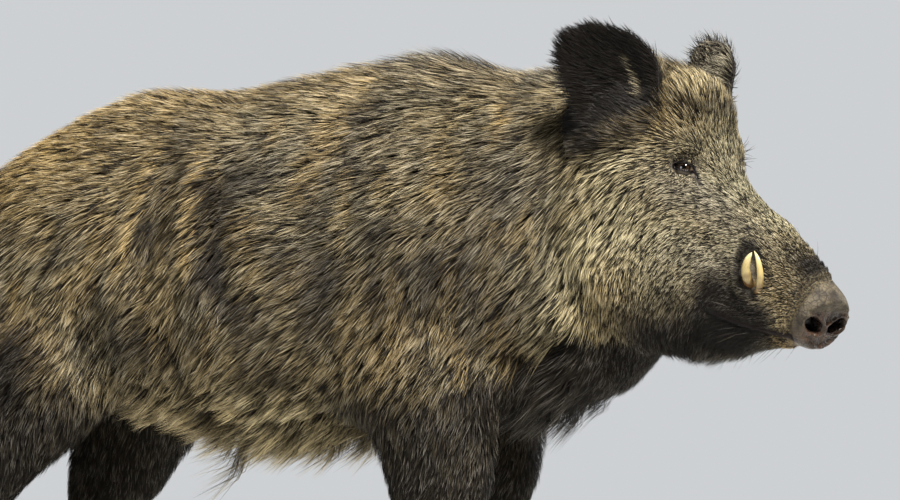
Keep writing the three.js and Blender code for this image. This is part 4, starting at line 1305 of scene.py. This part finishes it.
def grid_object(name, node, grid, paint):
    """A stack of rings as one closed mesh, with its shares along and round stored as a UV map, which replaces
    a node of the frame."""
    count, sides = grid.shape[:2]
    first, last = list(range(sides))[::-1], list(range((count - 1) * sides, count * sides))
    faces = wall_faces(count, sides).tolist() + [first, last]
    piece = mesh_object(name, grid.reshape(-1, 3), faces, paint)
    mesh = piece.data
    mesh.polygons.foreach_set("use_smooth", np.ones(len(mesh.polygons), bool))
    i, k = np.meshgrid(np.arange(count - 1), np.arange(sides), indexing="ij")
    around = np.stack([k, k + 1, k + 1, k], -1) / sides
    along = np.stack([i, i, i + 1, i + 1], -1) / (count - 1)
    uv = np.concatenate([np.stack([around, along], -1).reshape(-1, 2), np.zeros((2 * sides, 2))])
    mesh.uv_layers.new(name="rings").data.foreach_set("uv", uv.ravel().astype(np.float32))
    put_numbers(mesh, "along", np.repeat(np.linspace(0, 1, count), sides))
    bm = bmesh.new()
    bm.from_mesh(mesh)
    bmesh.ops.recalc_face_normals(bm, faces=bm.faces)
    bm.to_mesh(mesh)
    bm.free()
    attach(piece, "root")
    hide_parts(node)


def horn_frame(rows, t, reach, hint):
    """Along the spline through the rows at shares t: the places, the radii, and two ways square to the path,
    the first of which is square to the hint as well."""
    row = spline(rows, t)
    along = unit(path_way(rows, t, reach)[:, :3])
    across = unit(np.cross(hint, along))
    return row[:, None, :3], row[:, 3:], across[:, None], np.cross(along, across)[:, None]


def blunt(t, end):
    """1 along a horn, and down to nothing at its end as the square root of 9 (end - t)."""
    return np.minimum(1, (end - t[:, None]) * 9) ** 0.5


def tusk(kind, which, side):
    """Rings square to the tusk's path, an oval with one keener edge: r (1 + 0.10 cos a + 0.05 cos 3a)."""
    t = np.linspace(0, 1, 44) ** 0.9
    a = 2 * np.pi * np.arange(TUSK_SIDES) / TUSK_SIDES
    place, radius, across, front = horn_frame(tusk_rows[kind] * [1, side, 1, 1], t, 0.02, [1.0, 0, 0])
    radius = TUSK_STOUT[kind] * radius * (1 + 0.10 * np.cos(a) + 0.05 * np.cos(3 * a)) * blunt(t, 1.002)
    grid = place + (np.cos(a)[:, None] * front + np.sin(a)[:, None] * across) * radius[..., None]
    grid_object(f"ivory_{kind}_{which}", f"{kind}_tusk_{which}", in_head(grid), ivory)


ivory, tree = new_material("ivory")
rings_map = add(tree, "ShaderNodeUVMap", uv_map="rings").outputs[0]
stretched = add(tree, "ShaderNodeMapping", {"Vector": rings_map, "Scale": (18.0, 1.5, 1.0)}).outputs[0]
grain = cloudy(tree, stretched, 3.0, 6.0)
along = stored(tree, "along")
colour = colour_mix(tree, grain, (0.390, 0.280, 0.085), (0.690, 0.570, 0.270))
colour = colour_mix(tree, ramp(tree, along, 0.55, 1.0, 0.0, 0.6), colour, (0.800, 0.720, 0.450))
stain = sums(tree, "MULTIPLY", cloudy(tree, object_place(tree), 90.0, 4.0), 0.60)
stain = sums(tree, "ADD", stain, ramp(tree, along, 0.10, 0.70, 0.50, 0.0))
colour = colour_mix(tree, ramp(tree, stain, 0.42, 0.85), colour, (0.140, 0.070, 0.024))
surface(tree, colour, ramp(tree, grain, 0.2, 0.8, 0.26, 0.42), Coat_Weight=0.35, Coat_Roughness=0.15,
        Normal=bumps(tree, grain, 0.35, 0.0008))
for side, which in ((-1, "right"), (1, "left")):
    for kind in tusk_rows:
        tusk(kind, which, side)


# ---- Hooves --------------------------------------------------------------------------------------
# Each foot stands on two cloven hooves of dark horn, grown on its toes, with two dewclaws behind them clear
# of the ground. The horn grows down in rings and is worn pale and ragged along its lower edge.

HOOF_SIDES, DEWCLAW_SIDES = 48, 28
TOE, HEEL, HOOF_HALF, GROWTH_RING = 42, 28, 15, 4.2  # mm


def hoof_rings(x, y, side):
    """Half-moon rings from sole to crown: toe or heel length times cos^0.9 ahead, half (1 + s sin) across,
    drawn in towards the top; the wall swells a little with each growth ring."""
    up = np.array([0, 0.4, 1.6, 5, 9, 13, 17, 22, 27, 32, 36, 37.6])
    spread = np.interp(up, [0, 5, 22, 38], [0.95, 0.98, 0.86, 0.72])
    up, spread = (np.interp(np.linspace(0, 1, 40), np.linspace(0, 1, 12), v) for v in (up, spread))
    growth = 0.006 * np.sin(up * 2 * np.pi / GROWTH_RING) * (up > 2)
    spread = (spread * np.interp(up, [0, 0.5, 36.5, 37.6], [0.975, 1, 1, 0.96]) + growth)[:, None]
    a = 2 * np.pi * np.arange(HOOF_SIDES)[None] / HOOF_SIDES
    ahead = np.where(np.cos(a) > 0, TOE, HEEL) * np.sign(np.cos(a)) * np.abs(np.cos(a)) ** 0.9 * spread
    narrow = 1 - 0.45 * np.maximum(0, np.cos(a)) ** 2
    across = HOOF_HALF * (1 + side * np.sin(a) * narrow * (0.5 + 0.5 * spread / 0.98))
    grid = [x + ahead + (spread - 1) * 30, y + side * 2 + side * across * 0.98, up[:, None] + 0 * a]
    return in_body(np.stack(grid, -1))


def dewclaw_rings(x, y, side):
    """Rings of a short horn square to its path down the back of the foot, blunt at the end and ringed with
    growth: r (1 + 0.03 sin 44 t)."""
    rows = np.array([[x - 15, y + side * 15.2, 74, 7.2], [x - 31, y + side * 19, 66, 9],
                     [x - 41, y + side * 19, 52, 7.65], [x - 43, y + side * 19, 36, 3]])
    t = np.linspace(0, 1, 28)
    a = 2 * np.pi * np.arange(DEWCLAW_SIDES) / DEWCLAW_SIDES
    place, radius, across, other = horn_frame(rows, t, 0.03, [0, 1.0, 0])
    radius = radius * (1 + 0.03 * np.sin(t * 44))[:, None] * blunt(t, 1.01)
    return in_body(place + (np.cos(a)[:, None] * across + np.sin(a)[:, None] * other) * radius[..., None])


horn_paint, tree = new_material("horn")
where = object_place(tree)
drawn_out = add(tree, "ShaderNodeMapping", {"Vector": where, "Scale": (1.0, 1.0, 0.12)}).outputs[0]
fibre, wander = cloudy(tree, drawn_out, 900.0, 3.0), cloudy(tree, where, 40.0, 3.0)
up = add(tree, "ShaderNodeSeparateXYZ", {0: where}).outputs[2]
growth = sums(tree, "SINE", weighted(tree, (up, 1500.0), (wander, 9.0)), 0.0)
colour = colour_mix(tree, fibre, (0.016, 0.013, 0.011), (0.060, 0.047, 0.036))
colour = colour_mix(tree, ramp(tree, growth, -1.0, 1.0, 0.0, 0.3), colour, (0.095, 0.075, 0.055))
worn = sums(tree, "SUBTRACT", ramp(tree, up, 0.012, 0.0), sums(tree, "MULTIPLY", wander, 0.5))
colour = colour_mix(tree, ramp(tree, worn, 0.0, 0.5, 0.0, 0.7), colour, (0.220, 0.185, 0.140))
surface(tree, colour, ramp(tree, fibre, 0.2, 0.8, 0.42, 0.62),
        Normal=bumps(tree, weighted(tree, (fibre, 0.6), (growth, 0.25)), 0.5, 0.0008))
for leg, rows in leg_rows.items():
    foot_x, foot_y = rows[-1, :2]
    body_side = np.sign(foot_y)
    for place, side in (("outer", body_side), ("inner", -body_side)):
        for kind, rings_of in (("hoof", hoof_rings), ("dewclaw", dewclaw_rings)):
            grid_object(f"horn_{leg}_{kind}_{place}", f"{leg}_{kind}_{place}", rings_of(foot_x, foot_y, side),
                        horn_paint)


# ---- Whiskers ------------------------------------------------------------------------------------
# Stiff single bristles, rooted deep in the hide, that stand clear of the short fur: lashes on the upper lids,
# a spray over the brows, and whiskers on the muzzle, lips and chin.

LASHES, LASH_LENGTH = 30, 0.008  # on each upper lid
LASH_RADIUS = 0.0145  # m from the eye's middle to a lash's root
WHISKER_WIDTH, WHISKER_PARTS = 0.0007, 4


def whiskers(name, starts, ways, bend, length, seed):
    """Blades of four lengths: each point is start + way s + bend s^2, and the blade is w (1 - s)^0.7 wide."""
    draw = np.random.default_rng(seed)
    count, per = len(starts), 2 * WHISKER_PARTS + 1
    length = length * draw.uniform(0.7, 1.2, count)
    s = np.linspace(0, 1, WHISKER_PARTS + 1)
    way = ways[:, None] * s[:, None] + bend[:, None] * (s**2)[:, None]
    line = starts[:, None] + way * length[:, None, None]
    side = unit(np.cross(ways, draw.normal(0, 1, (count, 3))))
    reach = side[:, None] * (WHISKER_WIDTH * (1 - s) ** 0.7 / 2)[None, :, None]
    edges = np.stack([line - reach, line + reach], 2)[:, :WHISKER_PARTS].reshape(count, per - 1, 3)
    points = np.concatenate([edges, line[:, WHISKER_PARTS:]], 1).reshape(-1, 3)
    piece = mesh_object(name, points, blade_faces(WHISKER_PARTS, count), whisker_paint)
    put_numbers(piece.data, "tone", np.repeat(draw.uniform(0.0, 1.0, count) ** 2, per))
    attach(piece, "root")


whisker_paint, tree = new_material("whisker")
uneven = sums(tree, "MULTIPLY", stored(tree, "tone"), cloudy(tree, object_place(tree), 200.0, 2.0))
colour = colour_mix(tree, ramp(tree, uneven, 0.2, 0.55), (0.010, 0.008, 0.007), (0.05, 0.042, 0.030))
surface(tree, colour, 0.55, Specular_IOR_Level=0.2)

draw = np.random.default_rng(71)
starts, ways, bends, lengths = [], [], [], []
for side, eye in zip((-1, 1), EYES.values()):
    outward, along, across = eye_axes(side)
    a = draw.uniform(-0.011, 0.007, LASHES)
    b = 0.0012 + slit_edge(a)
    rise = np.sqrt(LASH_RADIUS**2 - a**2 - b**2)
    starts.append(eye + a[:, None] * along + b[:, None] * across + rise[:, None] * outward)
    ways.append(outward * 0.9 + across * 0.25 - along * 0.35 + draw.normal(0, 0.12, (LASHES, 3)))
    bends.append(np.tile(-across * 0.35 - along * 0.1, (LASHES, 1)))
    lengths.append(np.full(LASHES, LASH_LENGTH))
on_muzzle = smooth(-0.17, -0.12, hide_q[:, 0]) * smooth(-0.030, -0.045, hide_q[:, 0])
on_nose = smooth(0.055, 0.065, hide_q[:, 2]) * smooth(-0.10, -0.06, hide_q[:, 0])
on_muzzle = on_muzzle * (smooth(0.02, -0.03, hide_q[:, 2]) + 0.5 * on_nose)
on_brows = smooth(0.018, 0.010, eye_gap(hide_q - [0, 0, 0.026]))
for weight, count, size, stand in ((on_muzzle, 150, 0.028, 0.75), (on_brows, 44, 0.030, 0.9)):
    chance = weight * (1 - hairless(hide_share))
    picked = draw.choice(len(hide_q), count, p=chance / chance.sum())
    out = hide_normals[picked] @ head_axes
    starts.append(hide_q[picked])
    ways.append(out * stand + np.array([-1.0, 0, -0.15]) * 0.55 + draw.normal(0, 0.16, (count, 3)))
    bends.append(np.tile([-0.2, 0, -0.25], (count, 1)))
    lengths.append(np.full(count, size))
starts, ways, bends = (np.concatenate(v) for v in (starts, ways, bends))
whiskers("whiskers", snout_place + starts @ head_axes.T, unit(ways) @ head_axes.T, bends @ head_axes.T,
         np.concatenate(lengths), 72)
